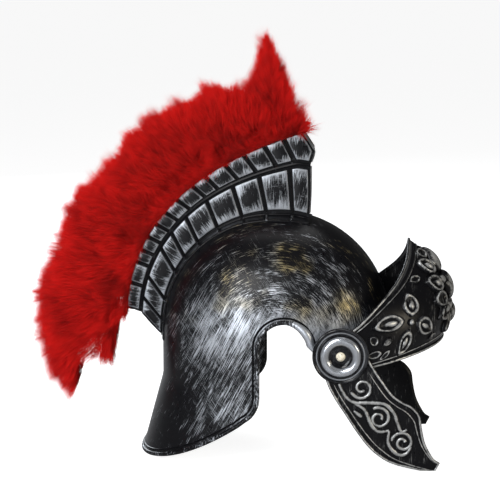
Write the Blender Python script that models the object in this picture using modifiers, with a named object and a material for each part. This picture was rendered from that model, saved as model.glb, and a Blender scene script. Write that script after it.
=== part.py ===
"""Roman legionary helmet: a shell with a feather crest, a swinging brow visor and two cheek guards.

Metres, +Z up. +X is the front and -Y the wearer's right. The helmet stands on Z = 0, on the rear
rim of its neck guard and the tips of both cheek guards. The origin is under the middle of its box.
"""

import math

import bmesh
import bpy
from mathutils import Matrix, Vector

# Running clearance between pieces that touch
CLEARANCE = 0.0003

# Shell: dome, neck guard and rim
DOME_X = 0.031
DOME_HALF_LENGTH = 0.114
DOME_HALF_WIDTH = 0.088
DOME_RISE = 0.115
SKIRT_HEIGHT = 0.125
PLAN_POWER = 2.5
SHELL_WALL = 0.0022
NECK_FLARE = 0.021
NECK_SPREAD = 0.004
NECK_FLARE_HEIGHT = 0.077
RIM_RADIUS = 0.0022
RIM_LIFT = 0.0016
SHELL_SIDES = 32
SHELL_RINGS = 7

# Side view of the shell's edge
NECK_EDGE_RISE = 0.046
NECK_CORNER_RADIUS = 0.025
EAR_REAR_X = 0.0155
EAR_CORNER_Z = 0.070
EAR_ARCH_Z = 0.119
EAR_ARCH_RADIUS = 0.0255
TEMPLE_LOBE_RADIUS = 0.0175
BROW_Z = 0.118

# Pivots of the visor and the cheek guards
PIVOT_X = 0.095
PIVOT_Z = 0.114
POST_RADIUS = 0.009
POST_LENGTH = 0.0162
POST_SINK = 0.0008
POST_FACE_Y = DOME_HALF_WIDTH - POST_SINK
POST_INNER_Y = POST_FACE_Y - POST_LENGTH
RIVET_RADIUS = 0.003
RIVET_HOLE_RADIUS = 0.0036
RIVET_HEAD_RADIUS = 0.005
RIVET_HEAD_RISE = 0.0032
RIVET_TAIL_RADIUS = 0.0065
RIVET_TAIL_THICKNESS = 0.002
ROUND_SIDES = 16

# Crest box along the middle of the dome
FLANGE_HALF_WIDTH = 0.030
FLANGE_RISE = 0.001
FLANGE_OVERRUN = 1.5
CREST_HALF_WIDTH = 0.016
CREST_WALL = 0.002
CREST_FLOOR = 0.003
CREST_REAR_HEIGHT = 0.036
CREST_SLOPE_RISE = 0.020
CREST_FRONT_RISE = 0.025
CREST_TOP_FRONT = 82.7
CREST_TOP_REAR = 173.0
CREST_STEPS = 18
PLATE_RISE = 0.0012
PLATE_SINK = 0.0004
PLATE_CHAMFER = 0.0008
DIVIDER_WIDTH = 0.0045
ROW_LINE_WIDTH = 0.003

# How far the crest box reaches at each share of its height, in degrees round the dome's centre
CREST_ENDS = (
    # height, front, rear
    (0.00, 73.9, 184.5),
    (0.62, 78.6, 173.7),
    (0.80, 78.1, 173.3),
    (1.00, 82.7, 173.0),
)
ROW_SPLIT = 0.62

# Places of the dividers as shares of the way from the row's front end to its rear end
UPPER_DIVIDERS = (0.06, 0.125, 0.20, 0.275, 0.36, 0.42, 0.50, 0.568, 0.627, 0.688, 0.747, 0.80, 0.89)
LOWER_DIVIDERS = (0.075, 0.19, 0.30, 0.42, 0.53, 0.62, 0.70, 0.835, 0.93)

# Plume: locks that fan out of the crest box
PLUME_REACH = 0.130
PLUME_LOCK_RADIUS = 0.017
PLUME_HALF_WIDTH = 0.030
PLUME_VOXEL = 0.0142
PLUME_LOCKS = (
    # root: degrees round the dome, tip: degrees, reach: share of the plume's reach, thickness
    (84.5, 79.5, 0.68, 0.75),
    (85.5, 84.5, 0.84, 0.85),
    (86.5, 88.6, 1.12, 0.85),
    (88.0, 92.6, 1.42, 0.85),
    (90.0, 95.0, 1.19, 0.90),
    (95.0, 99.5, 0.98, 1.00),
    (101.0, 105.5, 1.02, 1.00),
    (107.0, 111.5, 0.98, 1.00),
    (113.5, 118.0, 1.00, 1.00),
    (120.0, 124.5, 0.99, 1.00),
    (127.0, 131.0, 0.97, 1.00),
    (134.0, 138.0, 0.91, 1.00),
    (141.0, 145.5, 0.96, 1.00),
    (148.0, 152.5, 0.94, 1.00),
    (155.0, 159.5, 0.92, 1.00),
    (161.0, 166.5, 0.96, 1.00),
    (166.0, 173.0, 1.03, 1.00),
    (169.0, 180.0, 1.01, 1.00),
    (170.0, 187.0, 0.97, 1.00),
    (171.0, 194.0, 0.94, 1.00),
    (171.0, 200.0, 0.86, 0.95),
    (170.0, 201.5, 0.70, 0.80),
    (168.0, 196.0, 0.52, 0.85),
    (167.0, 189.0, 0.36, 0.85),
)

# Brow visor, measured from its pivots
VISOR_LUG_INNER_Y = POST_FACE_Y + CLEARANCE
VISOR_LUG_THICKNESS = 0.002
VISOR_LUG_RADIUS = 0.018
VISOR_WALL = 0.0017
VISOR_LOW_DEPTH = 0.102
VISOR_LOW_REAR_Z = -0.018
VISOR_LOW_FRONT_Z = 0.003
VISOR_PEAK_DEPTH = 0.067
VISOR_PEAK_Z = 0.0985
VISOR_SHOULDER_DROP = 0.058
VISOR_END_DROP = 0.021
VISOR_SWEEP = 0.93
VISOR_BULGE = 0.019
VISOR_BORDER_RADIUS = 0.0013
VISOR_COLUMNS = 18
VISOR_ROWS = 5
PETAL_RISE = 0.0032
VISOR_PETALS = (
    # turn: share of a quarter turn from the front, rise: share of the height, then length and
    # width as shares of the visor's front depth, lean: degrees from upright, how high it stands
    (0.00, 0.71, 0.24, 0.22, 0.0, 1.6),
    (0.00, 0.45, 0.25, 0.28, 0.0, 2.3),
    (0.00, 0.21, 0.17, 0.24, 0.0, 2.1),
    (0.20, 0.72, 0.26, 0.09, 28.0, 1.4),
    (0.24, 0.52, 0.26, 0.09, 58.0, 1.4),
    (0.22, 0.30, 0.24, 0.09, 84.0, 1.4),
    (0.52, 0.69, 0.24, 0.18, -37.0, 1.0),
    (0.48, 0.31, 0.26, 0.17, -130.0, 1.0),
    (0.59, 0.49, 0.07, 0.07, 0.0, 1.2),
    (0.68, 0.26, 0.24, 0.14, 140.0, 1.0),
    (0.73, 0.68, 0.34, 0.16, 70.0, 1.0),
)

# Cheek guards, measured from their pivots
CHEEK_INNER_Y = VISOR_LUG_INNER_Y + VISOR_LUG_THICKNESS + CLEARANCE
CHEEK_DISC_THICKNESS = 0.0024
CHEEK_DISC_RADIUS = 0.023
CHEEK_WALL = 0.0021
CHEEK_LENGTH = 0.148
CHEEK_FLAT_RADIUS = 0.035
CHEEK_BEND = 0.009
CHEEK_COLUMNS = 4
CHEEK_STATIONS = (
    # rear x, rear z, front x, front z, as shares of the guard's length
    (-0.110, -0.020, 0.150, 0.030),
    (-0.085, -0.160, 0.196, -0.061),
    (-0.030, -0.277, 0.260, -0.160),
    (0.040, -0.385, 0.331, -0.257),
    (0.110, -0.495, 0.395, -0.305),
    (0.189, -0.601, 0.460, -0.340),
    (0.264, -0.669, 0.507, -0.400),
    (0.338, -0.712, 0.520, -0.480),
    (0.450, -0.745, 0.545, -0.588),
    (0.570, -0.770, 0.600, -0.690),
    (0.620, -0.768, 0.644, -0.722),
)
VINE_RADIUS = 0.0014
VINE_VOLUTES = (
    # centre x and z and outer radius as shares of the guard's length, start: degrees, turns
    (0.155, -0.210, 0.058, 215.0, 1.25),
    (0.257, -0.418, 0.062, 120.0, -1.25),
    (0.398, -0.580, 0.060, 170.0, -1.25),
)

# Pivot bosses
BOSS_BACK_Y = CHEEK_INNER_Y + CHEEK_DISC_THICKNESS + CLEARANCE
BOSS_RADIUS = 0.027
BOSS_RISE = 0.0062
BOSS_FLOOR = 0.0022
BOSS_PROFILE = (
    # radius as a share of the boss's radius, height as a share of its rise
    (0.74, 0.40),
    (0.70, 0.78),
    (0.62, 1.00),
    (0.53, 0.98),
    (0.44, 0.70),
)


def material(name, colour, roughness, metallic):
    """A plain finish for one piece."""
    look = bpy.data.materials.new(name)
    look.use_nodes = True
    shader = look.node_tree.nodes["Principled BSDF"]
    shader.inputs["Base Color"].default_value = (*colour, 1.0)
    shader.inputs["Roughness"].default_value = roughness
    shader.inputs["Metallic"].default_value = metallic
    look.diffuse_color = (*colour, 1.0)
    return look


def collection(name, shown):
    """A collection in the scene; helpers go in one that is not rendered."""
    made = bpy.data.collections.new(name)
    made.hide_render = not shown
    bpy.context.scene.collection.children.link(made)
    return made


def to_mesh(name, bm):
    """Turns a bmesh into mesh data and frees it."""
    mesh = bpy.data.meshes.new(name)
    bm.to_mesh(mesh)
    bm.free()
    return mesh


def piece(name, mesh, look, location=(0.0, 0.0, 0.0)):
    """A sub-part of the helmet as an object of its own."""
    made = bpy.data.objects.new(name, mesh)
    made.location = location
    mesh.materials.append(look)
    helmet.objects.link(made)
    return made


def helper(name, mesh, location=(0.0, 0.0, 0.0)):
    """A cutter or a form to be joined on, which is not itself part of the helmet."""
    made = bpy.data.objects.new(name, mesh)
    made.location = location
    made.hide_render = True
    made.display_type = "WIRE"
    helpers.objects.link(made)
    return made


def combine(target, other, operation):
    """Joins or cuts the target with a helper."""
    modifier = target.modifiers.new(f"{operation.lower()}_{other.name}", "BOOLEAN")
    modifier.operation = operation
    modifier.solver = "EXACT"
    modifier.object = other


def thicken(target, wall):
    """Gives an open surface its wall, inwards."""
    modifier = target.modifiers.new("wall", "SOLIDIFY")
    modifier.thickness = wall
    modifier.offset = -1.0
    modifier.use_even_offset = True


def curve_mesh(name, curve, turn):
    """The closed mesh that a curve makes, with its caps welded on."""
    guide = bpy.data.objects.new(name, curve)
    bpy.context.scene.collection.objects.link(guide)
    guide.matrix_world = turn
    bpy.context.view_layer.update()
    graph = bpy.context.evaluated_depsgraph_get()
    mesh = bpy.data.meshes.new_from_object(guide.evaluated_get(graph))
    mesh.transform(guide.matrix_world)
    bpy.data.objects.remove(guide)
    bm = bmesh.new()
    bm.from_mesh(mesh)
    bmesh.ops.remove_doubles(bm, verts=bm.verts, dist=1e-5)
    bmesh.ops.recalc_face_normals(bm, faces=bm.faces)
    bm.to_mesh(mesh)
    bm.free()
    return mesh


def add_spline(curve, points, radii, cyclic):
    """Adds one polyline to a curve."""
    spline = curve.splines.new("POLY")
    spline.points.add(len(points) - 1)
    for control, place, radius in zip(spline.points, points, radii):
        control.co = (*place, 1.0)
        control.radius = radius
    spline.use_cyclic_u = cyclic


def slab(name, outline, half_thickness):
    """A flat plate with an outline of (x, z) pairs, as thick each way along Y as asked."""
    curve = bpy.data.curves.new(name, "CURVE")
    curve.dimensions = "2D"
    curve.fill_mode = "BOTH"
    curve.extrude = half_thickness
    add_spline(curve, [(x, z, 0.0) for x, z in outline], [1.0] * len(outline), True)
    return curve_mesh(name, curve, Matrix.Rotation(math.pi / 2, 4, "X"))


def tubes(name, paths, radius, sides, cyclic=False):
    """Round wires of one radius along lists of points."""
    curve = bpy.data.curves.new(name, "CURVE")
    curve.dimensions = "3D"
    curve.bevel_depth = radius
    curve.bevel_resolution = (sides - 4) // 2
    curve.use_fill_caps = True
    for path in paths:
        add_spline(curve, path, [1.0] * len(path), cyclic)
    return curve_mesh(name, curve, Matrix.Identity(4))


def arc(centre, radius, start, end, steps):
    """Points along an arc in the side view, with its angles in degrees."""
    angles = [math.radians(start + (end - start) * i / steps) for i in range(steps + 1)]
    return [(centre[0] + radius * math.cos(a), centre[1] + radius * math.sin(a)) for a in angles]


def cross_disc(name, radius, near_y, far_y, side, location=(PIVOT_X, 0.0, PIVOT_Z)):
    """A round bar along Y between two distances from the middle plane, centred on the pivots."""
    bm = bmesh.new()
    turn = Matrix.Translation((0.0, side * (near_y + far_y) / 2, 0.0)) @ Matrix.Rotation(math.pi / 2, 4, "X")
    bmesh.ops.create_cone(
        bm, cap_ends=True, segments=ROUND_SIDES, radius1=radius, radius2=radius,
        depth=far_y - near_y, matrix=turn,
    )
    return helper(name, to_mesh(name, bm), location)


def power_of(value):
    """The signed power that turns a circle into the shell's plan outline."""
    return math.copysign(abs(value) ** (2.0 / PLAN_POWER), value)


def section(height, grow=0.0):
    """The shell's half-length and half-width at a height."""
    if height >= SKIRT_HEIGHT:
        share = min(1.0, (height - SKIRT_HEIGHT) / (DOME_RISE + grow))
        narrowing = math.sqrt(1.0 - share * share)
        return (DOME_HALF_LENGTH + grow) * narrowing, (DOME_HALF_WIDTH + grow) * narrowing
    flare = max(0.0, 1.0 - height / NECK_FLARE_HEIGHT)
    return DOME_HALF_LENGTH + grow + NECK_FLARE * flare, DOME_HALF_WIDTH + grow + NECK_SPREAD * flare


def shell_point(azimuth, height):
    """The point of the shell's outer surface at a plan angle and a height."""
    half_length, half_width = section(height)
    return Vector((
        DOME_X + half_length * power_of(math.cos(azimuth)),
        half_width * power_of(math.sin(azimuth)),
        height,
    ))


def shell_side(x, z):
    """How far from the middle plane the shell's outer surface lies at a point of the side view."""
    half_length, half_width = section(z)
    share = min(1.0, abs(x - DOME_X) / half_length)
    return half_width * (1.0 - share**PLAN_POWER) ** (1.0 / PLAN_POWER)


def surface_radius(angle, y, grow=0.0):
    """Distance from the dome's centre line to its surface, at an angle and a distance y aside."""
    inside, outside = 0.0, 2.0 * DOME_HALF_LENGTH
    for _ in range(40):
        middle = (inside + outside) / 2
        x, z = middle * math.cos(angle), SKIRT_HEIGHT + middle * math.sin(angle)
        half_length, half_width = section(z, grow)
        reach = 2.0
        if half_length > 0.0:
            reach = (abs(x) / half_length) ** PLAN_POWER + (abs(y) / half_width) ** PLAN_POWER
        if reach < 1.0 and z < SKIRT_HEIGHT + DOME_RISE + grow:
            inside = middle
        else:
            outside = middle
    return inside


def polar(angle, radius):
    """A point of the side view at degrees and a distance round the dome's centre."""
    turn = math.radians(angle)
    return DOME_X + radius * math.cos(turn), SKIRT_HEIGHT + radius * math.sin(turn)


def wrapped_sphere():
    """A sphere whose rings are moved onto the shell's surface, open at the bottom."""
    bm = bmesh.new()
    bmesh.ops.create_uvsphere(bm, u_segments=SHELL_SIDES, v_segments=2 * SHELL_RINGS, radius=1.0)
    bmesh.ops.delete(bm, geom=[v for v in bm.verts if v.co.z < -0.999], context="VERTS")
    for vert in bm.verts:
        latitude = math.asin(max(-1.0, min(1.0, vert.co.z)))
        azimuth = math.atan2(vert.co.y, vert.co.x)
        if latitude > 1e-6:
            height = SKIRT_HEIGHT + DOME_RISE * math.sin(latitude)
        else:
            height = SKIRT_HEIGHT * (1.0 + latitude / (math.pi / 2) * SHELL_RINGS / (SHELL_RINGS - 1))
        place = shell_point(azimuth, height)
        if abs(vert.co.z) > 0.9999:
            place.x, place.y = DOME_X, 0.0
        vert.co = place
    bmesh.ops.recalc_face_normals(bm, faces=bm.faces)
    return bm


def neck_edge(x):
    """Height of the neck guard's lower edge at a place along the helmet."""
    rear_x = DOME_X - DOME_HALF_LENGTH - NECK_FLARE
    front_x = EAR_REAR_X - NECK_CORNER_RADIUS / 2
    share = max(0.0, min(1.0, (x - rear_x) / (front_x - rear_x)))
    return RIM_LIFT + NECK_EDGE_RISE * share**1.6


def ear_line():
    """Side view of the shell's edge from the neck guard's front corner to the brow."""
    corner = arc((EAR_REAR_X - NECK_CORNER_RADIUS, EAR_CORNER_Z), NECK_CORNER_RADIUS, -60, 0, 4)
    arch = arc((EAR_REAR_X + EAR_ARCH_RADIUS, EAR_ARCH_Z), EAR_ARCH_RADIUS, 180, 10, 9)
    lobe = arc((PIVOT_X, PIVOT_Z), TEMPLE_LOBE_RADIUS, 200, 355, 8)
    return corner + arch + lobe


def right_rim():
    """The shell's edge down its right side, from the middle of the neck to the middle of the brow."""
    rim = []
    for step in range(10):
        azimuth = math.radians(180 - 80 * step / 10)
        z = RIM_LIFT
        for _ in range(20):
            z = neck_edge(shell_point(azimuth, z).x)
        place = shell_point(azimuth, z)
        if place.x < EAR_REAR_X - NECK_CORNER_RADIUS / 2 - 2 * RIM_RADIUS:
            rim.append(Vector((place.x, -place.y, place.z)))
    rim += [Vector((x, -shell_side(x, z), z)) for x, z in ear_line()]
    start = math.radians(50)
    for step in range(9):
        place = shell_point(start * (1 - step / 8), BROW_Z)
        if place.x > PIVOT_X + TEMPLE_LOBE_RADIUS + RIM_RADIUS:
            rim.append(Vector((place.x, -place.y, place.z)))
    return rim


def crest_height(angle):
    """Height of the crest box above the dome at an angle in degrees."""
    share = (angle - CREST_TOP_FRONT) / (CREST_TOP_REAR - CREST_TOP_FRONT)
    left = 1.0 - max(0.0, min(1.0, share))
    return CREST_REAR_HEIGHT + CREST_SLOPE_RISE * left + CREST_FRONT_RISE * left**5


def crest_limits(height_share):
    """Front and rear ends of the crest box, in degrees, at a share of its height."""
    for lower, upper in zip(CREST_ENDS, CREST_ENDS[1:]):
        if height_share <= upper[0]:
            part = (height_share - lower[0]) / (upper[0] - lower[0])
            part = max(0.0, part)
            return tuple(lower[i] + (upper[i] - lower[i]) * part for i in (1, 2))
    return CREST_ENDS[-1][1:]


def crest_place(height_share, along):
    """Side view of the crest box at shares of its height and of its length."""
    front, rear = crest_limits(height_share)
    angle = front + (rear - front) * along
    middle_radius = surface_radius(math.radians(angle), 0.0)
    return angle, middle_radius + height_share * crest_height(angle)


def crest_outline(floor, inset, rise):
    """Outline of the crest box from a floor above the dome, drawn in at its ends, raised on top."""
    def place(height_share, along, lift=0.0):
        angle, radius = crest_place(height_share, along)
        towards_middle = math.degrees(inset / radius) * (1 if along < 0.5 else -1)
        return polar(angle + towards_middle, radius + lift)

    top = [place(1.0, i / CREST_STEPS, rise) for i in range(CREST_STEPS + 1)]
    rear = [place(ROW_SPLIT, 1.0)]
    front = [place(ROW_SPLIT, 0.0), place(CREST_ENDS[2][0], 0.0)]
    if rise > CLEARANCE:
        rear.insert(0, place(1.0, 1.0))
        front.append(place(1.0, 0.0))
    _, foot_front, foot_rear = CREST_ENDS[0]
    start = crest_limits(max(0.0, floor / crest_height(foot_front)))[0]
    end = crest_limits(max(0.0, floor / crest_height(foot_rear)))[1]
    bottom = []
    for i in range(CREST_STEPS, -1, -1):
        angle = start + (end - start) * i / CREST_STEPS
        radius = surface_radius(math.radians(angle), 0.0) + floor
        towards_middle = math.degrees(inset / radius) * (1 if 2 * i < CREST_STEPS else -1)
        bottom.append(polar(angle + towards_middle, radius))
    return top + rear + bottom + front


def plate_row(bm, dividers, low, high, side):
    """Adds one row of raised plates to a side of the crest box."""
    ends = (0.0, *dividers, 1.0)
    middle = (low + high) / 2
    angle, radius = crest_place(middle, 0.5)
    front, rear = crest_limits(middle)
    row_length = radius * math.radians(rear - front)
    half_gap = DIVIDER_WIDTH / 2 / row_length
    chamfer = PLATE_CHAMFER / row_length
    chamfer_high = PLATE_CHAMFER / crest_height(angle)
    for start, end in zip(ends, ends[1:]):
        cube = bmesh.ops.create_cube(bm, size=2.0)["verts"]
        for vert in cube:
            outer = vert.co.y > 0
            trim = chamfer if outer else 0.0
            along = start + half_gap + trim if vert.co.x < 0 else end - half_gap - trim
            trim = chamfer_high if outer else 0.0
            height = low + trim if vert.co.z < 0 else high - trim
            x, z = polar(*crest_place(height, along))
            y = CREST_HALF_WIDTH + (PLATE_RISE if outer else -PLATE_SINK)
            vert.co = (x, side * y, z)


def lock_path(root, tip, reach, aside):
    """Middle line of one lock of the plume, and how thick it is along the way."""
    root_radius = surface_radius(math.radians(min(root, 180.0)), 0.0) + crest_height(root)
    start = Vector((*polar(root, root_radius - 0.004),))
    end = Vector((*polar(tip, DOME_HALF_LENGTH + PLUME_REACH * reach),))
    out = Vector((*polar(root, root_radius + (end - start).length * 0.5),))
    points, radii = [], []
    for step in range(5):
        t = step / 4
        flat = start * (1 - t) ** 2 + out * 2 * t * (1 - t) + end * t**2
        points.append(Vector((flat.x, aside * (0.25 + 0.75 * math.sin(math.pi / 2 * t)), flat.y)))
        radii.append(1.0 - 0.5 * t**2)
    return points, radii


def visor_place(turn, rise):
    """The visor's outer surface from its pivots: turn from -1 to 1 across, rise from 0 to 1 up."""
    angle = turn * VISOR_SWEEP * math.pi / 2
    across, forward = math.sin(angle), math.cos(angle)
    half_width = VISOR_LUG_INNER_Y + VISOR_LUG_THICKNESS - (VISOR_LUG_THICKNESS - VISOR_WALL) / 2
    low = Vector((VISOR_LOW_DEPTH * forward, 0.0))
    low.y = VISOR_LOW_REAR_Z + (VISOR_LOW_FRONT_Z - VISOR_LOW_REAR_Z) * forward
    side = abs(across)
    peak = VISOR_PEAK_Z - VISOR_SHOULDER_DROP * side - VISOR_END_DROP * side**10
    high = Vector((VISOR_PEAK_DEPTH * forward, peak))
    chord = high - low
    outward = Vector((chord.y, -chord.x)).normalized()
    flat = low + chord * rise + outward * VISOR_BULGE * forward * 4 * rise * (1 - rise)
    return Vector((flat.x, half_width * across, flat.y))


def cheek_depth(x, z):
    """How far in towards the cheek a guard has bent at a place measured from its pivot."""
    share = (math.hypot(x, z) - CHEEK_FLAT_RADIUS) / (CHEEK_LENGTH - CHEEK_FLAT_RADIUS)
    return CHEEK_BEND * max(0.0, share) ** 1.5


def cheek_surface(x, z, side):
    """The point of a cheek guard's outer surface at a place measured from its pivot."""
    outer = CHEEK_INNER_Y + CHEEK_DISC_THICKNESS - (CHEEK_DISC_THICKNESS - CHEEK_WALL) / 2
    return Vector((x, side * (outer - cheek_depth(x, z)), z))


def cheek_place(along, across, side):
    """The same point at shares of the way down the guard and from its rear to its front edge."""
    row = along * (len(CHEEK_STATIONS) - 1)
    index = min(int(row), len(CHEEK_STATIONS) - 2)
    part = row - index
    upper, lower = CHEEK_STATIONS[index], CHEEK_STATIONS[index + 1]
    rear_x, rear_z, front_x, front_z = (
        CHEEK_LENGTH * (a + (b - a) * part) for a, b in zip(upper, lower)
    )
    x = rear_x + (front_x - rear_x) * across
    z = rear_z + (front_z - rear_z) * across
    return cheek_surface(x, z, side)


def mapped_grid(columns, rows, place, outward):
    """A sheet of quads moved onto a surface, with its faces turned outwards."""
    bm = bmesh.new()
    bmesh.ops.create_grid(bm, x_segments=columns, y_segments=rows, size=1.0)
    for vert in bm.verts:
        vert.co = place((vert.co.x + 1.0) / 2.0, (vert.co.y + 1.0) / 2.0)
    bm.normal_update()
    if sum(face.normal.dot(outward(face.calc_center_median())) for face in bm.faces) < 0.0:
        bmesh.ops.reverse_faces(bm, faces=bm.faces)
    return bm


def petal(bm, centre, along, normal, length, width, height):
    """A low lens on a surface, for a cast leaf or a bead."""
    across = normal.cross(along).normalized()
    made = bmesh.ops.create_uvsphere(bm, u_segments=6, v_segments=4, radius=1.0)["verts"]
    for vert in made:
        x, y, z = vert.co
        taper = 1.0 - 0.45 * max(0.0, x) if length > 1.3 * width else 1.0
        vert.co = centre + along * (x * length / 2) + across * (y * width / 2 * taper) + normal * (z * height)


def make_bowl(look):
    """Dome and neck guard, with rim bead, crest flange and temple posts."""
    bowl = piece("bowl", to_mesh("bowl", wrapped_sphere()), look)
    thicken(bowl, SHELL_WALL)

    below = -0.02
    rear_x = DOME_X - DOME_HALF_LENGTH - NECK_FLARE
    front_x = EAR_REAR_X - NECK_CORNER_RADIUS / 2 - RIM_RADIUS
    neck = [
        (rear_x + (front_x - rear_x) * i / 8, neck_edge(rear_x + (front_x - rear_x) * i / 8))
        for i in range(9)
    ]
    reach = DOME_X + DOME_HALF_LENGTH + NECK_FLARE + 0.02
    outline = [(rear_x - 0.02, below), (rear_x - 0.02, RIM_LIFT)] + neck + ear_line()
    outline += [(PIVOT_X + TEMPLE_LOBE_RADIUS + RIM_RADIUS, BROW_Z), (reach, BROW_Z), (reach, below)]
    combine(bowl, helper("edge_cutter", slab("edge_cutter", outline, DOME_HALF_WIDTH * 1.3)), "DIFFERENCE")

    band = helper("crest_flange", flange_mesh("crest_flange", FLANGE_RISE))
    thicken(band, FLANGE_RISE + 0.75 * SHELL_WALL)
    combine(bowl, band, "UNION")

    right = right_rim()
    left = [Vector((p.x, -p.y, p.z)) for p in reversed(right[1:-1])]
    combine(bowl, helper("rim_bead", tubes("rim_bead", [right + left], RIM_RADIUS, 6, True)), "UNION")
    for name, side in SIDES:
        post = cross_disc(f"post_{name}", POST_RADIUS, POST_INNER_Y, POST_FACE_Y, side)
        combine(bowl, post, "UNION")
    for name, side in SIDES:
        combine(bowl, bores[name], "DIFFERENCE")
    combine(bowl, ground, "DIFFERENCE")
    return bowl


def flange_mesh(name, grow):
    """A strip that lies over the dome under the crest box, raised by grow."""
    front, rear = crest_limits(0.0)
    front, rear = front - FLANGE_OVERRUN, rear + FLANGE_OVERRUN

    def place(along, across):
        angle = front + (rear - front) * along
        y = FLANGE_HALF_WIDTH * (2.0 * across - 1.0)
        x, z = polar(angle, surface_radius(math.radians(angle), y, grow))
        return Vector((x, y, z))

    centre = Vector((DOME_X, 0.0, SKIRT_HEIGHT))
    return to_mesh(name, mapped_grid(CREST_STEPS, 4, place, lambda middle: middle - centre))


def make_crest_box(look):
    """The channel along the dome with its raised plates, seated on the flange."""
    outline = crest_outline(-2 * CREST_FLOOR, 0.0, 0.0)
    box = piece("crest_box", slab("crest_box", outline, CREST_HALF_WIDTH), look)
    plates = bmesh.new()
    upper_low = ROW_SPLIT + ROW_LINE_WIDTH / 2 / CREST_REAR_HEIGHT
    lower_high = ROW_SPLIT - ROW_LINE_WIDTH / 2 / CREST_REAR_HEIGHT
    lower_low = 1.5 * ROW_LINE_WIDTH / CREST_REAR_HEIGHT
    for _, side in SIDES:
        plate_row(plates, UPPER_DIVIDERS, upper_low, 0.98, side)
        plate_row(plates, LOWER_DIVIDERS, lower_low, lower_high, side)
    bmesh.ops.recalc_face_normals(plates, faces=plates.faces)
    combine(box, helper("crest_plates", to_mesh("crest_plates", plates)), "UNION")
    seat = helper("crest_seat", flange_mesh("crest_seat", FLANGE_RISE + CLEARANCE))
    thicken(seat, 4 * CREST_FLOOR)
    combine(box, seat, "DIFFERENCE")
    floor = FLANGE_RISE + CLEARANCE + CREST_FLOOR
    channel = slab("crest_channel", crest_outline(floor, CREST_WALL, 0.03), CREST_HALF_WIDTH - CREST_WALL)
    combine(box, helper("crest_channel", channel), "DIFFERENCE")
    return box


def make_plume(look):
    """Locks of feather fused to each other and to the backing that fills the crest box."""
    curve = bpy.data.curves.new("plume_locks", "CURVE")
    curve.dimensions = "3D"
    curve.bevel_depth = PLUME_LOCK_RADIUS
    curve.bevel_resolution = 2
    curve.use_fill_caps = True
    for index, (root, tip, reach, thickness) in enumerate(PLUME_LOCKS):
        for aside in (-1.0, 0.0, 1.0):
            shorter = 1.0 if aside == 0.0 else 0.86 + 0.06 * ((index + aside) % 2)
            width = aside * (PLUME_HALF_WIDTH - PLUME_LOCK_RADIUS / 2)
            points, radii = lock_path(root, tip, reach * shorter, width)
            add_spline(curve, points, [thickness * r for r in radii], False)
    plume = piece("plume", curve_mesh("plume", curve, Matrix.Identity(4)), look)
    fuse = plume.modifiers.new("fuse", "REMESH")
    fuse.mode = "VOXEL"
    fuse.voxel_size = PLUME_VOXEL
    room = slab("plume_room", crest_outline(-2 * CREST_FLOOR, -CLEARANCE, CLEARANCE), 2 * PLUME_HALF_WIDTH)
    combine(plume, helper("plume_room", room), "DIFFERENCE")
    floor = FLANGE_RISE + CREST_FLOOR + 2 * CLEARANCE
    backing = crest_outline(floor, CREST_WALL + CLEARANCE, 0.004)
    half = CREST_HALF_WIDTH - CREST_WALL - CLEARANCE
    combine(plume, helper("plume_backing", slab("plume_backing", backing, half)), "UNION")
    return plume


def make_visor(look):
    """The peaked brow band with lugs, raised borders and cast leaves."""
    pivot = (PIVOT_X, 0.0, PIVOT_Z)
    sheet = mapped_grid(
        VISOR_COLUMNS, VISOR_ROWS,
        lambda across, rise: visor_place(2.0 * across - 1.0, rise),
        lambda centre: Vector((centre.x, centre.y, 0.0)),
    )
    visor = piece("brow_visor", to_mesh("brow_visor", sheet), look, pivot)
    thicken(visor, VISOR_WALL)
    for name, side in SIDES:
        far = VISOR_LUG_INNER_Y + VISOR_LUG_THICKNESS
        combine(visor, cross_disc(f"visor_lug_{name}", VISOR_LUG_RADIUS, VISOR_LUG_INNER_Y, far, side), "UNION")
    turns = [-0.94 + 1.88 * i / VISOR_COLUMNS for i in range(VISOR_COLUMNS + 1)]
    borders = [[visor_place(turn, rise) for turn in turns] for rise in (0.05, 0.95)]
    combine(visor, helper("visor_borders", tubes("visor_borders", borders, VISOR_BORDER_RADIUS, 4), pivot), "UNION")

    leaves = bmesh.new()
    for turn, rise, length, width, lean, stand in VISOR_PETALS:
        for side in (-1.0, 1.0) if turn else (1.0,):
            centre = visor_place(side * turn, rise)
            upright = (visor_place(side * turn, rise + 0.02) - centre).normalized()
            sideways = (visor_place(side * turn + 0.01, rise) - centre).normalized()
            normal = sideways.cross(upright).normalized()
            if normal.x < 0.0:
                normal.negate()
            lean_turn = math.radians(lean) * side
            along = (upright * math.cos(lean_turn) + sideways * math.sin(lean_turn)).normalized()
            length_m, width_m = length * VISOR_LOW_DEPTH, width * VISOR_LOW_DEPTH
            petal(leaves, centre, along, normal, length_m, width_m, stand * PETAL_RISE)
    bmesh.ops.recalc_face_normals(leaves, faces=leaves.faces)
    combine(visor, helper("visor_leaves", to_mesh("visor_leaves", leaves), pivot), "UNION")
    visor.modifiers[-1].use_self = True
    for name, _ in SIDES:
        combine(visor, bores[name], "DIFFERENCE")
    return visor


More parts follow.
